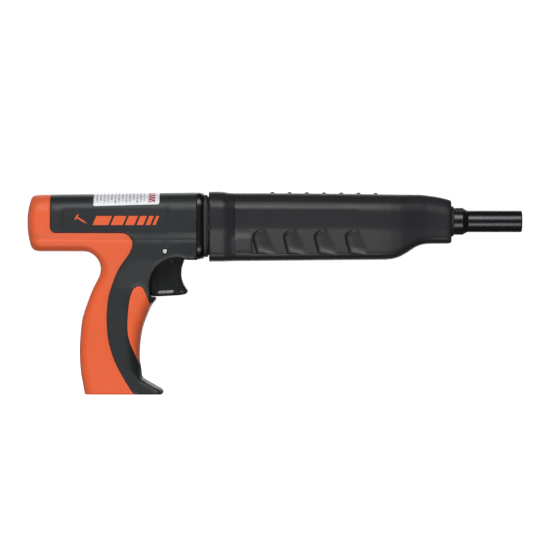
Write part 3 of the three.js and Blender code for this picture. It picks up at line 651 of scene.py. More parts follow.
def handle_height(points):
    """Half-width over the whole side, rounded along each part of the outline."""
    x, z = points[:, 0], points[:, 1]
    back = distance(points, np.vstack([[-FAR, SHELL_BOTTOM_Z], GRIP_BACK, [-151.8, -20]]))
    front = distance(points, GRIP_FRONT)
    pocket = distance(points, np.vstack([TRIGGER_POCKET, [SHELL_FRONT_X + 30, CHEEK_BOTTOM_Z]]))
    dome = DOME["r"] - np.hypot(x - (BACK_X + DOME["r"]), z - DOME["z"])
    dome = np.where((z > DOME["z0"]) & (x < DOME["x1"]), dome, FAR)
    in_grip = 1 - ramp(z, 96, 111)
    toe = 1 - ramp(z, 10, 20)
    height = handle_width(z)
    height = height * rim(shell_top(x) - z, 15.0, 0.3)
    height = height * rim(dome, 8.5, 0.36)
    height = height * rim(back, 6.8 + 2.4 * in_grip, 0.52 - 0.1 * in_grip)
    height = height * rim(front, 10.5 - 7 * toe, 0.4 + 0.35 * toe)
    height = height * rim(z, 0.8, 0.955)
    return height * rim(pocket, 2.4, 0.88)


def with_bosses(points, wall, centres, r):
    """The inner wall, filled to the middle plane round the screws."""
    for centre in centres:
        away = np.hypot(points[:, 0] - centre.x, points[:, 1] - centre.z)
        wall = np.where(away < r, SEAM, wall)
    return wall


def screw_seats(centres):
    """The areas of the round seats that the screws' heads lie in."""
    return {f"screw_{i}": circle(c.x, c.z, SCREW_SEAT["r"]) for i, c in enumerate(centres)}


def seat_height(points):
    return np.full(len(points), SCREW_SEAT["y"])


def handle_floor(points):
    """The hollow's wall, closed to the middle plane along the rim except at the trigger's slot."""
    x, z = points[:, 0], points[:, 1]
    depth = distance(points, HANDLE_OUTLINE)
    hollow = np.where(depth > WALL, handle_height(points) - WALL, SEAM)
    slot = TRIGGER_SLOT
    in_slot = (x > slot["x0"]) & (x < slot["x1"]) & (z > slot["z0"]) & (z < slot["z1"])
    wall = np.where(in_slot, np.maximum(hollow, slot["half"]), hollow)
    return with_bosses(points, wall, HANDLE_SCREWS, 5)


def edge_drop(points, *lines):
    """How far a rounded edge along these lines falls below the surface."""
    near = np.min([distance(points, line) for line in lines], axis=0)
    inner = np.clip(EDGE_ROUND - near, 0, EDGE_ROUND)
    return EDGE_ROUND - np.sqrt(EDGE_ROUND**2 - inner**2)


def handle_plan(side):
    """The side's plan: orange areas with a groove round them, and the panel or the port."""
    skins = [
        ("rear", REAR_SEAM, REAR_GROOVE, [(-FAR, -6), (-FAR, 165)]),
        ("front", FRONT_SEAM, FRONT_GROOVE, [(-95, 20)]),
    ]
    areas = {}
    for name, seam, groove, outside in skins:
        areas[name + "_groove"] = np.vstack([groove, outside])
        areas[name] = np.vstack([seam, outside])
    if side == "right":
        areas["panel"] = PANEL
    else:
        areas["hole"] = PORT
        areas.update(screw_seats(HANDLE_SCREWS))
    areas["pin"] = circle(TRIGGER_PIVOT.x, TRIGGER_PIVOT.z, 2.0)
    slot = TRIGGER_SLOT
    lines = [
        straight((BACK_X, LEDGE_Z), (SHELL_FRONT_X, LEDGE_Z)),
        straight((BACK_X, LEDGE_Z + STEP_WIDTH), (SHELL_FRONT_X, LEDGE_Z + STEP_WIDTH)),
        straight((slot["x1"], slot["z1"]), (slot["x1"], 100)),
    ]
    steps = [0.12, 0.45, 1.0, 1.8, 2.8, 4.1, 5.7, 7.6, 9.9, 12.6]
    fine = [0.14, EDGE_ROUND]
    rings = [(closed(HANDLE_OUTLINE), steps, 2.0), (REAR_SEAM, fine, 1.6), (FRONT_SEAM, fine, 1.2)]
    rings += [(REAR_GROOVE, fine, 1.6), (FRONT_GROOVE, fine, 1.2)]
    rings.append((closed(PANEL if side == "right" else PORT), fine, 1.4))
    return Plan(HANDLE_OUTLINE, areas, lines, rings, [(-198, -62, 0, 161, 2.4)])


def handle_half(side):
    """One black shell and its two orange skins, all cut from one plan."""
    plan = handle_plan(side)
    recess = PANEL if side == "right" else PORT
    black_edges = [REAR_GROOVE, FRONT_GROOVE, closed(recess)]

    def body(points):
        return handle_height(points) - edge_drop(points, *black_edges)

    def sunk(depth):
        return lambda points: handle_height(points) - depth

    def skin(seam):
        return lambda points: handle_height(points) - edge_drop(points, seam)

    levels = {"body": body, "rear_groove": sunk(GROOVE_DEPTH), "front_groove": sunk(GROOVE_DEPTH)}
    if side == "right":
        levels["panel"] = sunk(0.6)
    else:
        levels.update({area: seat_height for area in screw_seats(HANDLE_SCREWS)})
    sign = SIDES[side]
    node = f"handle_{side}"
    shell = relief(node + "_shell", plan, levels, handle_floor, sign)
    finish_mesh(node + "_look", shell, BLACK.material, "receiver", [node], "black_nylon")
    for area, seam in (("rear", REAR_SEAM), ("front", FRONT_SEAM)):
        node = f"{area}_overmould_{side}"
        mesh = relief(node + "_skin", plan, {area: skin(seam)}, handle_floor, sign)
        finish_mesh(node + "_look", mesh, ORANGE.material, "receiver", [node], "orange_grip")


# ------------------------------------------------------------------ badge and label


def nail_pictogram(x, z):
    """A plain slanted nail: head, shank and point."""
    head = [(0.3, 0.0), (-1.0, 0.0), (-1.0, 4.6), (0.3, 4.6)]
    shank = [(0.3, 2.9), (6.6, 2.9), (9.6, 2.3), (6.6, 1.7), (0.3, 1.7)]
    turn = math.radians(-32)
    c, s = math.cos(turn), math.sin(turn)
    return [(x + c * u - s * v, z + s * u + c * v) for u, v in head + shank]


def badge_print():
    """Flat orange shapes on the badge: a nail and a row of slanted bars."""
    shapes = [nail_pictogram(-158.2, 138.8)]
    x, z, lean, height, gap = -144.6, 134.6, 3.0, 7.2, 1.9
    for width in (12.5, 9.5, 7.2, 5.2, 3.6, 2.4):
        end = x + width
        shapes.append([(x, z), (end, z), (end + lean, z + height), (x + lean, z + height)])
        x = end + gap
    points, faces = [], []
    for shape in shapes:
        first, count = len(points), len(shape)
        for y in (-SHELL_HALF_WIDTH + 0.12, -SHELL_HALF_WIDTH - 0.05):
            points.extend((px, y, pz) for px, pz in shape)
        faces.extend([first + v for v in face] for face in bands(2, count) + caps(2, count))
    mesh = closed_mesh("badge_print", points, faces)
    finish_mesh("badge_print_look", mesh, ORANGE.material, "receiver", [], "orange_grip")


def badge():
    """A thin plate with a softened edge in the panel's recess, and the print on it."""
    plate = rounded_box(-167, -85.4, 130.5, 146.9, 1.6)
    edge = 0.3
    plan = Plan(plate, {}, [], [(closed(plate), [edge], 1.5)], [(-167, -85, 130, 147, 3)])
    top = SHELL_HALF_WIDTH - 0.12

    def height(points):
        return top - 0.2 * (1 - bulge(distance(points, closed(plate)) / edge))

    def back(points):
        return np.full(len(points), top - 0.38)

    mesh = relief("badge_plate", plan, {"body": height}, back, -1)
    finish_mesh("badge_look", mesh, BLACK.material, "receiver", ["badge"], "gloss_black_plastic")
    badge_print()


def label():
    """White vinyl that follows the body's right side, its top and a little of the left side."""
    x0, x1, low_z, slope = -144.1, -91.7, 149.6, 1.4
    corner_r = 1.3
    ends = np.array([0, 0.2, 0.6, 1.2])
    x = np.concatenate([x0 + ends, np.linspace(x0 + 2.4, x1 - 2.4, 24), x1 - ends[::-1]])
    from_end = np.minimum(x - x0, x1 - x)
    cut = corner_r - np.sqrt(corner_r**2 - np.clip(corner_r - from_end, 0, corner_r) ** 2)
    bottom = low_z + slope * (x - x0) / (x1 - x0) + cut
    top = shell_top(x) - 0.01
    right = [bottom + (top - bottom) * np.sin(a) for a in np.linspace(0, np.pi / 2, 16)]
    left = [top - 8.25 * (1 - math.cos(a)) for a in np.radians(np.linspace(0, 50, 16))]
    rows = []
    for side, heights in ((-1, right), (1, left)):
        for z in heights:
            rows.append(np.column_stack([x, side * handle_height(np.column_stack([x, z])), z]))
    grid = np.array(rows)
    normal = np.cross(np.gradient(grid, axis=0), np.gradient(grid, axis=1))
    normal /= np.linalg.norm(normal, axis=2)[:, :, None]
    normal *= np.sign(normal[8, 8] @ np.array([0, -1, 0.5]))
    count, width = grid.shape[:2]
    points = np.vstack([(grid + normal * lift).reshape(-1, 3) for lift in (0.3, 0.08)])
    upper = np.arange(count * width).reshape(count, width)
    lower = upper + count * width
    faces = []
    for i in range(count - 1):
        for j in range(width - 1):
            faces.append([upper[i, j], upper[i, j + 1], upper[i + 1, j + 1], upper[i + 1, j]])
            faces.append([lower[i, j], lower[i + 1, j], lower[i + 1, j + 1], lower[i, j + 1]])
    edge = [*upper[0], *upper[1:, -1], *upper[-1, -2::-1], *upper[-2:0:-1, 0]]
    for a, b in zip(edge, edge[1:] + edge[:1]):
        faces.append([a, b, b + count * width, a + count * width])
    mesh = closed_mesh("label_sheet", points, faces)
    ink = printed_vinyl(x0, x1, low_z)
    finish_mesh("label_look", mesh, ink.material, "receiver", ["label"], "label_vinyl", 60)


# ------------------------------------------------------------------ rings at the body's front


def section(angles, half_width, z0, z1):
    """(y, z) points round a rounded box, at these angles about the bore axis."""
    outline = rounded_box(-half_width, half_width, z0, z1, 11, 0.3)
    found = np.arctan2(outline[:, 1] - BORE_Z, outline[:, 0])
    order = np.argsort(found)
    reach = np.hypot(outline[:, 0], outline[:, 1] - BORE_Z)
    r = np.interp(angles, found[order], reach[order], period=2 * np.pi)
    return np.column_stack([r * np.cos(angles), BORE_Z + r * np.sin(angles)])


def collar(name, half_width, z0, z1, stations, bore, material, slot):
    """A ring with a rounded square outside and a round bore. stations: (x, inset), back to front."""
    count = 120
    angles = -np.pi + (np.arange(count) + 0.5) * 2 * np.pi / count
    points = []
    for x, inset in stations:
        ring = section(angles, half_width - inset, z0 + inset, z1 - inset)
        points.extend((x, y, z) for y, z in ring)
    for x in (stations[-1][0], stations[0][0]):
        points.extend((x, bore * math.cos(a), BORE_Z + bore * math.sin(a)) for a in angles)
    mesh = closed_mesh(name + "_ring", points, bands(len(stations) + 2, count, closes=True))
    finish_mesh(name + "_look", mesh, material, "receiver", [name], slot)


def front_rings():
    stations = [(-62.1, 0.5), (-61.7, 0), (-59.4, 0), (-59.0, 0.5), (-58.6, 0.5), (-58.2, 0.1),
                (-57.6, 0.4), (-57.1, 1.2)]
    steel = RING_STEEL.material
    collar("receiver_front_ring", 22.9, 107.4, 160.7, stations, 18.3, steel, "black_steel")
    stations = [(-56.8, 0.6), (-56.4, 0), (-54.4, 0), (-53.9, 0.5), (-53.8, 1.3), (-53.0, 1.5)]
    collar("bumper_ring", 21.6, 109.4, 158.9, stations, 15.6, RUBBER.material, "black_rubber")


# ------------------------------------------------------------------ foregrip

GRIP_TOP = [(-52.7, 161.3), (-47, 161.4), (-42, 161.3), (-37, 160.5), (-32, 160.2), (1, 160.2),
            (60, 159.7), (104, 159.1), (116, 159), (122.9, 158.2), (129.3, 157.3), (135.7, 155.9),
            (138.7, 155)]
GRIP_BOTTOM = [(138.7, 120.1), (129, 120), (122.9, 119.9), (117.5, 119.2), (112.5, 117.4),
               (107.5, 114.2), (103.7, 111.8), (99.5, 109.6), (95.5, 108.2), (90.9, 107.4),
               (84, 107.1), (44, 106.8), (-4, 106.3), (-34, 106.1), (-40, 105.8), (-52.3, 105.7)]
GRIP_TOP_LINE = spline(GRIP_TOP, 2.0)
GRIP_BOTTOM_LINE = spline(GRIP_BOTTOM, 1.8)
GRIP_OUTLINE = joined(
    GRIP_TOP_LINE,
    spline([(138.7, 155), (139.9, 154.3), (GRIP_FRONT_X, 152.8)], 0.5),
    straight((GRIP_FRONT_X, 152.8), (GRIP_FRONT_X, 122)),
    spline([(GRIP_FRONT_X, 122), (139.9, 120.7), (138.7, 120.1)], 0.5),
    GRIP_BOTTOM_LINE,
    straight((-52.3, 105.7), (-52.7, 161.3)))[:-1]
EDGE_Z = 131.9  # the crease along the side
SIDE_Z = 112.0  # the side is widest from here down
CROWN = 7.6  # the dark crown ends this far below the top
FLAT = 11.9  # and the bevel under it this far below
BAND_XS = [-40.4, -32.1, -31.7]  # the collar's front edge, then the step behind the straight run
POCKETS = [-18.7, 5.6, 30.0, 54.6]
POCKET_Z = 111.6
POCKET_HEIGHT = 19.2
POCKET_DEPTH = 3.0
RIB_XS = [-2.1 + 13.75 * i for i in range(7)]


def grip_half_width(x):
    """Half-width along the foregrip: a collar, a step down, the straight run and the narrow nose."""
    along = [*BAND_XS, 84, 92, 100, 110, 120, 130, 139]
    half = [GRIP_HALF_WIDTH, 22.2, 24.1, 24.3, 24.0, 23.1, 21.0, 19.0, 17.9, 17.4]
    return np.interp(x, along, half)


def pocket_back(x0, z):
    """A scallop's back edge: rounded over at the top and slanting forward towards the bottom."""
    up = np.clip((z - POCKET_Z) / POCKET_HEIGHT, 0, 1)
    return x0 + 4.2 * (1 - up) ** 1.6 + 5.5 * np.clip((up - 0.68) / 0.32, 0, 1) ** 2.2


def pocket_depth(x, z):
    """Finger scallops: sharp at the back, fading out to a slanted front edge."""
    depth = np.zeros(len(x))
    v = z - POCKET_Z
    up = np.clip(v / POCKET_HEIGHT, 0, 1)
    for x0 in POCKETS:
        back = pocket_back(x0, z)
        front = x0 + 11.5 + 9 * (1 - up)
        across = np.clip((x - back) / (front - back), 0, 1)
        body = bulge((x - back) / 6.5) * (1 - across)
        ends = bulge(v / 7) * bulge((POCKET_HEIGHT - v) / 5)
        depth = np.maximum(depth, POCKET_DEPTH * body * ends)
    return depth


def grip_height(points):
    """Half-width over the whole side: crown, bevel, upright face, and the rounded bottom and ends."""
    x, z = points[:, 0], points[:, 1]
    from_top = np.interp(x, *np.array(GRIP_TOP).T) - z
    from_bottom = distance(points, np.vstack([[FAR, 120.1], GRIP_BOTTOM_LINE, [-FAR, 105.7]]))
    ends = np.minimum(x - GRIP_BACK_X - (161.3 - z) / 56, GRIP_FRONT_X - x)
    crown = 0.37 + 0.43 * (np.clip(from_top, 0, CROWN) / CROWN) ** 0.54
    share = crown + 0.075 * np.clip((from_top - CROWN) / (FLAT - CROWN), 0, 1)
    share = np.where(z < EDGE_Z, np.interp(z, [SIDE_Z, EDGE_Z], [1.0, 0.875]), share)
    height = grip_half_width(x) * share * rim(from_bottom, 5.6, 0.56)
    height = height * rim(ends, np.where(x > 0, 2.4, 1.0), np.where(x > 0, 0.86, 0.95))
    ridge = 0.6 * (1 - ramp(z, 125.2, 125.7)) * ramp(x, -33, -32.4) * (1 - ramp(x, -20, -17))
    return height + ridge * ramp(z, 111, 113) - pocket_depth(x, z)


def grip_floor(points):
    """The hollow's wall, with the bore the barrel runs in and a boss round each screw."""
    x, z = points[:, 0], points[:, 1]
    depth = distance(points, closed(GRIP_OUTLINE))
    wall = np.where(depth > WALL, grip_height(points) - WALL - 0.6, SEAM)
    bore = np.where(x < 0, 15.6, 13.8)
    clear = np.sqrt(np.clip(bore**2 - (z - BORE_Z) ** 2, 0, None))
    return with_bosses(points, np.maximum(wall, clear), GRIP_SCREWS, 4.8)


def grip_ribs(side):
    """The half-round ribs across the top of one half, each closed to a rounded end."""
    points, faces = [], []
    angles = np.radians(np.linspace(-8, 188, 15))
    reach = [SEAM, 2, 4, 5.6, 6.6, 7.2, 7.45]
    size = [1, 1, 1, 0.97, 0.85, 0.6, 0.25]
    for x in RIB_XS:
        z = float(np.interp(x, *np.array(GRIP_TOP).T)) - 0.75
        first = len(points)
        for y, k in zip(reach, size):
            ring = [(x + 2.1 * k * math.cos(a), y, z + 2.0 * k * math.sin(a)) for a in angles]
            points.extend((px, SIDES[side] * py, pz) for px, py, pz in ring)
        ends = caps(len(reach), len(angles))
        faces.extend([first + v for v in face] for face in bands(len(reach), len(angles)) + ends)
    return closed_mesh(f"grip_ribs_{side}", points, faces)


def grip_half(side):
    """One half of the foregrip and its share of the top ribs."""
    seats = screw_seats(GRIP_SCREWS) if side == "left" else {}
    lines = [straight((-52.3, z), (x, z)) for x, z in ((GRIP_FRONT_X, EDGE_Z), (98, SIDE_Z))]
    lines += [GRIP_TOP_LINE - [0, CROWN], GRIP_TOP_LINE - [0, FLAT]]
    lines += [straight((x, 107.5), (x, 159.5)) for x in BAND_XS]
    heights = np.linspace(POCKET_Z, POCKET_Z + POCKET_HEIGHT, 23)
    for x0 in POCKETS:
        back = pocket_back(x0, heights)
        lines += [np.column_stack([back + step, heights]) for step in (0, 0.35, 1.0, 2.1, 3.6)]
    lines += [straight((-20, z), (78, z)) for z in (POCKET_Z, POCKET_Z + POCKET_HEIGHT)]
    steps = [0.1, 0.4, 0.9, 1.6, 2.5, 3.6, 5.0, 6.4]
    grids = [(-20, 78, 110.5, 131.8, 1.15), (-53, 141, 106, 161, 2.2)]
    plan = Plan(GRIP_OUTLINE, seats, lines, [(closed(GRIP_OUTLINE), steps, 1.9)], grids)
    levels = {"body": grip_height, **{area: seat_height for area in seats}}
    name = f"foregrip_{side}"
    mesh = relief(name + "_shell", plan, levels, grip_floor, SIDES[side])
    nylon, slot = GRIP_BLACK.material, "foregrip_nylon"
    finish_mesh(name + "_look", mesh, nylon, "foregrip", [name], slot, 30)
    finish_mesh(name + "_ribs", grip_ribs(side), nylon, "foregrip", [], slot)


# ------------------------------------------------------------------ trigger

TRIGGER_FRONT = spline(
    [(-72.6, 110.3), (-72.2, 107.4), (-73.7, 103), (-74.7, 98.7), (-74.9, 95.2), (-74.4, 91.6),
     (-73.1, 88.2), (-71.3, 85.2), (-69.9, 82.9), (-69.8, 81.4), (-70.9, 79.9), (-73, 79.2)], 0.9)
TRIGGER_OUTLINE = joined(
    TRIGGER_FRONT,
    spline([(-73, 79.2), (-78.5, 78.7), (-87.4, 78.2), (-94.4, 77.9), (-98, 78.1), (-98.9, 79.4)], 1.2),
    spline([(-98.9, 79.4), (-99.8, 86), (-100.7, 92), (-100.2, 98), (-96.5, 110.3)], 1.8),
    straight((-96.5, 110.3), (-72.6, 110.3)))[:-1]
TRIGGER_RECESS = joined(
    spline([(-82.4, 109.6), (-82.2, 105), (-82.9, 98.5), (-82.7, 92), (-81.6, 86.6),
            (-80.6, 83.2)], 1.0),
    spline([(-80.6, 83.2), (-81.4, 82.2), (-83, 81.8), (-88, 81.4), (-92.6, 81.3),
            (-93.8, 82.2)], 0.8),
    spline([(-93.8, 82.2), (-94, 88), (-92.8, 96), (-90.2, 105), (-88.6, 109.6)], 1.2),
    straight((-88.6, 109.6), (-82.4, 109.6)))[:-1]
TRIGGER_ARM = np.array(
    [(-80, 106), (-83.4, 116), (-87.4, 119), (-92, 116.5), (-101, 111.8), (-106.8, 110.8),
     (-106.6, 107), (-99, 106), (-94, 104)])
TRIGGER_ARM_HALF = 4.0
TRIGGER_RIB_X = -95.3
TRIGGER_RIB_HALF = 0.6


def trigger_height(points):
    """The finger's side: rounded at the front edge, with an upright rib near its back."""
    x, z = points[:, 0], points[:, 1]
    face = rim(distance(points, TRIGGER_FRONT), 4.4, 0.5)
    around = rim(distance(points, closed(TRIGGER_OUTLINE)), 0.9, 0.9)
    across = bulge((TRIGGER_RIB_HALF - np.abs(x - TRIGGER_RIB_X)) / TRIGGER_RIB_HALF)
    rib = 0.5 * across * ramp(z, 84, 88) * (1 - ramp(z, 98, 101))
    drop = edge_drop(points, closed(TRIGGER_RECESS))
    return TRIGGER_HALF_WIDTH * face * around - 0.5 + rib - drop


def trigger_recess(points):
    """The sunken panel in the finger's side, with a fillet along its edge."""
    inner = distance(points, closed(TRIGGER_RECESS))
    return TRIGGER_HALF_WIDTH - 2.2 + 0.5 * (1 - bulge(inner / 1.5))


def joined_halves(name, halves):
    """One mesh from right and left reliefs that meet at the middle plane."""
    work = bmesh.new()
    for half in halves:
        work.from_mesh(half)
        bpy.data.meshes.remove(half)
    for v in work.verts:
        if abs(abs(v.co.y) - SEAM * MM) < 1e-7:
            v.co.y = 0
    bmesh.ops.remove_doubles(work, verts=work.verts, dist=1e-7)
    inner = [f for f in work.faces if all(abs(v.co.y) < 1e-8 for v in f.verts)]
    bmesh.ops.delete(work, geom=inner, context="FACES")
    bmesh.ops.recalc_face_normals(work, faces=work.faces)
    mesh = bpy.data.meshes.new(name)
    work.to_mesh(mesh)
    work.free()
    return mesh


def trigger():
    """The finger, and the arm that carries it up to its pin and back to the sear."""
    steps = [0.1, 0.35, 0.8, 1.5, 2.5, 3.7]
    rings = [(closed(TRIGGER_OUTLINE), steps, 1.2), (closed(TRIGGER_RECESS), [0.14, 0.5, 1.2], 1.2)]
    rib_xs = [TRIGGER_RIB_X + x for x in (-TRIGGER_RIB_HALF, -0.4, 0, 0.4, TRIGGER_RIB_HALF)]
    ribs = [straight((x, 83), (x, 102)) for x in rib_xs]
    grids = [(-98, -69, 78, 111, 1.3)]
    finger_plan = Plan(TRIGGER_OUTLINE, {"recess": TRIGGER_RECESS}, ribs, rings, grids)
    pin_hole = circle(TRIGGER_PIVOT.x, TRIGGER_PIVOT.z, 1.9)
    arm_plan = Plan(TRIGGER_ARM, {"pin": pin_hole}, [], [], [])
    finger = {"body": trigger_height, "recess": trigger_recess}
    arm = {"body": lambda points: np.full(len(points), TRIGGER_ARM_HALF)}
    halves = []
    for plan, levels in ((finger_plan, finger), (arm_plan, arm)):
        for side in SIDES.values():
            halves.append(relief("trigger_half", plan, levels, lambda p: np.zeros(len(p)), side))
    mesh = joined_halves("trigger_finger", halves)
    finish_mesh("trigger_look", mesh, GLOSS.material, "trigger", ["trigger"], "gloss_black_plastic", 38)


# ------------------------------------------------------------------ muzzle and nose bushing

WRENCH_FLATS = {"tilt": math.radians(62), "reach": 10.15, "x0": 143.3, "x1": 150.7}


def press_flats(place):
    """Moves a point of the muzzle's collar onto its four wrench flats, if it stands outside them."""
    tilt, centre_z = WRENCH_FLATS["tilt"], BORE_Z * MM
    across, rise = abs(place.y), abs(place.z - centre_z)
    excess = across * math.cos(tilt) + rise * math.sin(tilt) - WRENCH_FLATS["reach"] * MM
    if excess > 0:
        place.y -= math.copysign(excess * math.cos(tilt), place.y)
        place.z -= math.copysign(excess * math.sin(tilt), place.z - centre_z)


def muzzle():
    """The tube: hidden shank and shoulder, the collar with its flats, a cone, and the long tip."""
    shank_r, shoulder_r, collar_r, tip_r, bore_r = 11.4, 13.2, 10.8, 8.75, 4.3
    end = MUZZLE_X
    profile = [(84.3, bore_r), (84.3, 11.2), (84.6, shank_r), (100.4, shank_r)]
    profile += [(100.4, shoulder_r), (128.6, shoulder_r), (128.6, collar_r)]
    profile += [(x, collar_r) for x in (143.0, 143.2, *np.linspace(143.6, 150.0, 9))]
    profile += [(150.3, collar_r - 0.1), (150.6, collar_r - 0.4), (153.4, tip_r + 0.25)]
    profile += [(x, tip_r) for x in (154.2, 154.5, end - 1.0, end - 0.8)]
    profile += [(end - 0.35, tip_r - 0.15), (end, tip_r - 0.6)]
    profile += [(end, bore_r + 0.7), (end - 0.7, bore_r)]
    mesh = lathe("muzzle_tube", profile, 128)
    for v in mesh.vertices:
        if WRENCH_FLATS["x0"] * MM < v.co.x < WRENCH_FLATS["x1"] * MM:
            press_flats(v.co)
    finish_mesh("muzzle_look", mesh, MUZZLE_STEEL.material, "barrel", ["muzzle"], "black_steel", 30)


def nose_bushing():
    """The ring in the foregrip's nose: a flange inside it and a short lip in front."""
    bore_r = 11.15
    profile = [(129, bore_r), (129, 14.2), (131.5, 14.2), (131.5, 13.5), (140.3, 13.5)]
    profile += [(140.3, 12.1), (142.2, 12.1), (142.6, 11.9), (142.8, 11.5), (142.8, bore_r)]
    mesh = lathe("nose_bushing_ring", profile, 112)
    rubber = RUBBER.material
    finish_mesh("nose_bushing_look", mesh, rubber, "foregrip", ["nose_bushing"], "black_steel")


# ------------------------------------------------------------------ receiver tube


def receiver_tube():
    """The steel tube of the receiver, with its windows for loading, the sear and the pawl."""
    low, high = corner("receiver_tube", 0), corner("receiver_tube", 1)
    outer = (high.y - low.y) / 2
    inner = outer - 2.4
    down = -math.pi / 2
    openings = [(-110, -78, 7.5, 0), (-148, -119, 3.9, down), (-71.9, -65.7, 3.2, down)]
    windows = []
    for x0, x1, half, facing in openings:
        reach = math.asin(half / outer)
        windows.append((x0, x1, facing - reach, facing + reach))
    xs = sorted({low.x, high.x, *[x for window in windows for x in window[:2]]})
    stops = sorted({-math.pi, *[a for window in windows for a in window[2:]]})
    angles = []
    for a, b in zip(stops, stops[1:] + [math.pi]):
        angles.extend(np.linspace(a, b, max(2, round((b - a) / 0.06)), endpoint=False))
    rows, columns = len(xs), len(angles)
    points = []
    for r in (outer, inner):
        points.extend((x, r * math.cos(a), BORE_Z + r * math.sin(a)) for x in xs for a in angles)

    def solid(i, j):
        """Whether the tube has metal between these stations and angles."""
        if not 0 <= i < rows - 1:
            return False
        x = (xs[i] + xs[i + 1]) / 2
        a = angles[j % columns] + 1e-6
        return not any(x0 < x < x1 and a0 < a < a1 for x0, x1, a0, a1 in windows)

    def at(layer, i, j):
        return layer * rows * columns + i * columns + j % columns

    faces = []
    for i in range(rows):
        for j in range(columns):
            if solid(i, j):
                around = [(i, j), (i + 1, j), (i + 1, j + 1), (i, j + 1)]
                faces.extend([at(layer, *place) for place in around] for layer in (0, 1))
            if solid(i, j) != solid(i - 1, j):
                faces.append([at(0, i, j), at(0, i, j + 1), at(1, i, j + 1), at(1, i, j)])
            if i < rows - 1 and solid(i, j) != solid(i, j - 1):
                faces.append([at(0, i, j), at(0, i + 1, j), at(1, i + 1, j), at(1, i, j)])
    used = sorted({v for face in faces for v in face})
    number = {v: k for k, v in enumerate(used)}
    faces = [[number[v] for v in face] for face in faces]
    mesh = closed_mesh("receiver_tube_shape", [points[v] for v in used], faces)
    steel = BLACK_STEEL.material
    finish_mesh("receiver_tube_look", mesh, steel, "receiver", ["receiver_tube"], "black_steel")


# ------------------------------------------------------------------ screws

SCREW_RINGS = [  # (y, radius, depth of the six lobes)
    (-9, 0.9, 0), (-8.4, 1.4, 0), (9, 1.4, 0), (9, 3.2, 0), (9.15, 3.3, 0), (10.6, 3.3, 0),
    (11.1, 3.05, 0), (11.4, 2.4, 0), (11.45, 1.75, 0.05), (11.4, 1.6, 0.22), (10.1, 1.5, 0.22),
    (9.9, 1.2, 0.1),
]


def screw(name, x, z, body):
    """A pan-head screw along Y with a six-lobe socket in its head."""
    count = 48
    a = turn_angles(count)
    points = []
    for y, radius, lobe in SCREW_RINGS:
        r = radius + lobe * np.cos(6 * a)
        points.extend(np.column_stack([x + r * np.cos(a), np.full(count, y), z + r * np.sin(a)]))
    stack = len(SCREW_RINGS)
    mesh = closed_mesh(name + "_shape", points, bands(stack, count) + caps(stack, count))
    finish_mesh(name + "_look", mesh, SCREW_STEEL.material, body, [name], "bright_steel")


def screws():
    rows = (("handle", HANDLE_SCREWS, "receiver"), ("foregrip", GRIP_SCREWS, "foregrip"))
    for part, places, body in rows:
        for i, place in enumerate(places, 1):
            screw(f"{part}_screw_{i}", place.x, place.z, body)


# ------------------------------------------------------------------ springs


BORE_SPRINGS = [  # node, radius, wire, start, end, turns, steps in a turn, bodies at the ends
    ("main_spring", 10.5, 1.1, -184.7, -155.4, 6, 28, "receiver", "breech_block"),
    ("muzzle_spring", 16.75, 0.9, 47.9, 87.7, 7, 32, "foregrip", "barrel"),
    ("firing_pin_spring", 5.2, 0.6, -147.8, -132.4, 5, 20, "breech_block", "firing_pin"),
]
SMALL_STEPS = 16  # steps in a turn of a small spring


def helix(name, radius, wire, start, end, turns, axis, centre, per_turn):
    """A coil from start to end along an axis through centre, with a round wire."""
    around = 10
    steps = int(turns * per_turn)
    t = np.linspace(0, 1, steps + 1)
    angle = 2 * np.pi * turns * t
    lift = start + wire + (end - start - 2 * wire) * t
    order = {"x": (2, 0, 1), "y": (1, 2, 0), "z": (0, 1, 2)}[axis]
    path = np.column_stack([radius * np.cos(angle), radius * np.sin(angle), lift])
    out = np.column_stack([np.cos(angle), np.sin(angle), np.zeros(steps + 1)])
    ahead = np.gradient(path, axis=0)
    ahead /= np.linalg.norm(ahead, axis=1)[:, None]
    up = np.cross(ahead, out)
    strands = [path + wire * (math.cos(a) * out + math.sin(a) * up) for a in turn_angles(around)]
    points = np.array(strands).transpose(1, 0, 2).reshape(-1, 3)[:, order] + centre
    return closed_mesh(name, points, bands(steps + 1, around) + caps(steps + 1, around))


def blended_spring(node, mesh, a, b):
    """A spring put in place of its CAD node as one fixed piece; the bodies a and b are not used."""
    piece = new_piece(node + "_look", mesh, WIRE.material)
    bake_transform(piece)
    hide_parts(node)


def bore_spring(node, radius, wire, start, end, turns, per_turn, a, b):
    bore = np.array([0, 0, BORE_Z])
    coil = helix(node + "_coil", radius, wire, start, end, turns, "x", bore, per_turn)
    blended_spring(node, coil, a, b)


def pawl_spring():
    low, high = corner("pawl_spring", 0), corner("pawl_spring", 1)
    x = middle("pawl_spring").x
    centre = np.array([x, 0, 0])
    coil = helix("pawl_coil", 2.2, 0.4, low.z, high.z, 4, "z", centre, SMALL_STEPS)
    blended_spring("pawl_spring", coil, "receiver", "barrel_pawl")


def torsion_spring(node):
    """A spring wound on a pin that lies along Y."""
    low, high, mid = corner(node, 0), corner(node, 1), middle(node)
    centre = np.array([mid.x, 0, mid.z])
    coil = helix(node + "_coil", 2.7, 0.4, low.y, high.y, 4, "y", centre, SMALL_STEPS)
    finish_mesh(node + "_look", coil, WIRE.material, "receiver", [node], "spring_steel", 80)


def springs():
    for spring in BORE_SPRINGS:
        bore_spring(*spring)
    pawl_spring()
    torsion_spring("trigger_spring")
    torsion_spring("sear_spring")


# ------------------------------------------------------------------ CAD nodes that stay


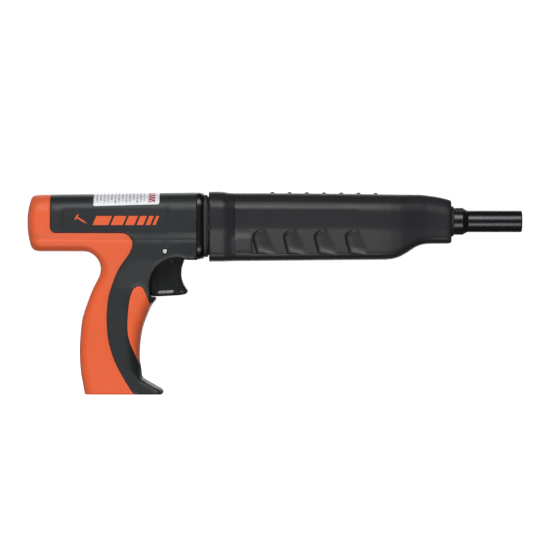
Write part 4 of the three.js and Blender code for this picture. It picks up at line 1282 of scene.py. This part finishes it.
def dress_cad_nodes():
    """Gives the CAD solids that stay in view or inside a procedural material."""
    finishes = {
        BLACK_STEEL: ["barrel", "sear", "breech_plug"],
        BRIGHT_STEEL: ["breech_block", "rear_plug", "firing_pin", "piston", "barrel_pawl"],
        PIN_STEEL: ["trigger_pin", "sear_pin"],
        BUFFER: ["piston_buffer"],
        WIRE: ["piston_ring"],
    }
    for finish, names in finishes.items():
        for name in names:
            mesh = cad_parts[name].data
            mesh.materials.clear()
            mesh.materials.append(finish.material)


# ------------------------------------------------------------------ studio


def softbox(name, place, target, width, height, power):
    light = bpy.data.lights.new(name, "AREA")
    light.shape = "RECTANGLE"
    light.size, light.size_y = width, height
    light.energy = power
    lamp = bpy.data.objects.new(name, light)
    lamp.location = place
    lamp.rotation_euler = (Vector(target) - Vector(place)).to_track_quat("-Z", "Y").to_euler()
    bpy.context.scene.collection.objects.link(lamp)


def backdrop():
    """A white dome that only the camera sees, so that it doesn't light the object."""
    mesh = bpy.data.meshes.new("backdrop")
    work = bmesh.new()
    bmesh.ops.create_icosphere(work, subdivisions=4, radius=14)
    work.to_mesh(mesh)
    work.free()
    white = bpy.data.materials.new("backdrop_white")
    white.use_nodes = True
    shader = white.node_tree.nodes["Principled BSDF"]
    shader.inputs["Base Color"].default_value = (0, 0, 0, 1)
    shader.inputs["Emission Color"].default_value = (1, 1, 1, 1)
    shader.inputs["Emission Strength"].default_value = 1.05
    mesh.materials.append(white)
    dome = bpy.data.objects.new("backdrop", mesh)
    bpy.context.scene.collection.objects.link(dome)
    only_camera_sees(dome)
    dome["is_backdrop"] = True


def only_camera_sees(piece):
    piece.visible_diffuse = False
    piece.visible_glossy = False
    piece.visible_transmission = False
    piece.visible_shadow = False


def floor():
    """A pale floor just under the object, for the camera only, so that light comes from below too."""
    size = 9.5
    mesh = bpy.data.meshes.new("floor")
    corners = [(-size, -size, 0), (size, -size, 0), (size, size, 0), (-size, size, 0)]
    mesh.from_pydata(corners, [], [(0, 1, 2, 3)])
    plane = bpy.data.objects.new("floor", mesh)
    plane.location.z = -0.0004
    bpy.context.scene.collection.objects.link(plane)
    pale = Shader("pale_floor", (0.9, 0.9, 0.9), 0.9)
    pale.set("Emission Color", (1, 1, 1, 1))
    pale.set("Emission Strength", 0.9)
    mesh.materials.append(pale.material)
    only_camera_sees(plane)
    plane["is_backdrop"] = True


def studio():
    """Soft light from high and low on each side of the tool."""
    world = bpy.data.worlds.new("studio")
    world.use_nodes = True
    sky = world.node_tree.nodes["Background"]
    sky.inputs["Color"].default_value = (1, 1, 1, 1)
    sky.inputs["Strength"].default_value = 0.12
    bpy.context.scene.world = world
    target = (-0.02, 0, 0.11)
    softbox("front_high", (-0.3, -1.35, 1.2), target, 1.5, 0.9, 23)
    softbox("front_low", (-0.3, -1.35, -0.85), target, 1.5, 0.7, 13)
    softbox("back_high", (0.3, 3.4, 2.0), target, 3.6, 2.4, 56)
    softbox("back_low", (0.3, 3.4, -0.8), target, 3.0, 1.4, 26)
    backdrop()
    floor()


def camera():
    """A long lens square to the tool's right side, as far off as its view is wide enough."""
    lens = bpy.data.cameras.new("camera")
    lens.lens = 200
    lens.sensor_width = 36
    lens.clip_end = 100
    width = 0.44  # of the view, in metres at the tool
    eye = bpy.data.objects.new("camera", lens)
    eye.location = (0.0, -width * lens.lens / lens.sensor_width, 0.095)
    eye.rotation_euler = (math.pi / 2, 0, 0)
    bpy.context.scene.collection.objects.link(eye)
    bpy.context.scene.camera = eye


def color_management():
    view = bpy.context.scene.view_settings
    view.view_transform = "Standard"
    view.look = "None"
    view.exposure = 0.0


# ------------------------------------------------------------------ the whole scene

for half in SIDES:
    handle_half(half)
    grip_half(half)
badge()
label()
front_rings()
trigger()
muzzle()
nose_bushing()
receiver_tube()
screws()
springs()
dress_cad_nodes()
studio()
camera()
color_management()

boxes = {"cad": cad_box, "visual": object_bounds()}
{name: [list(end) for end in ends] for name, ends in boxes.items()}
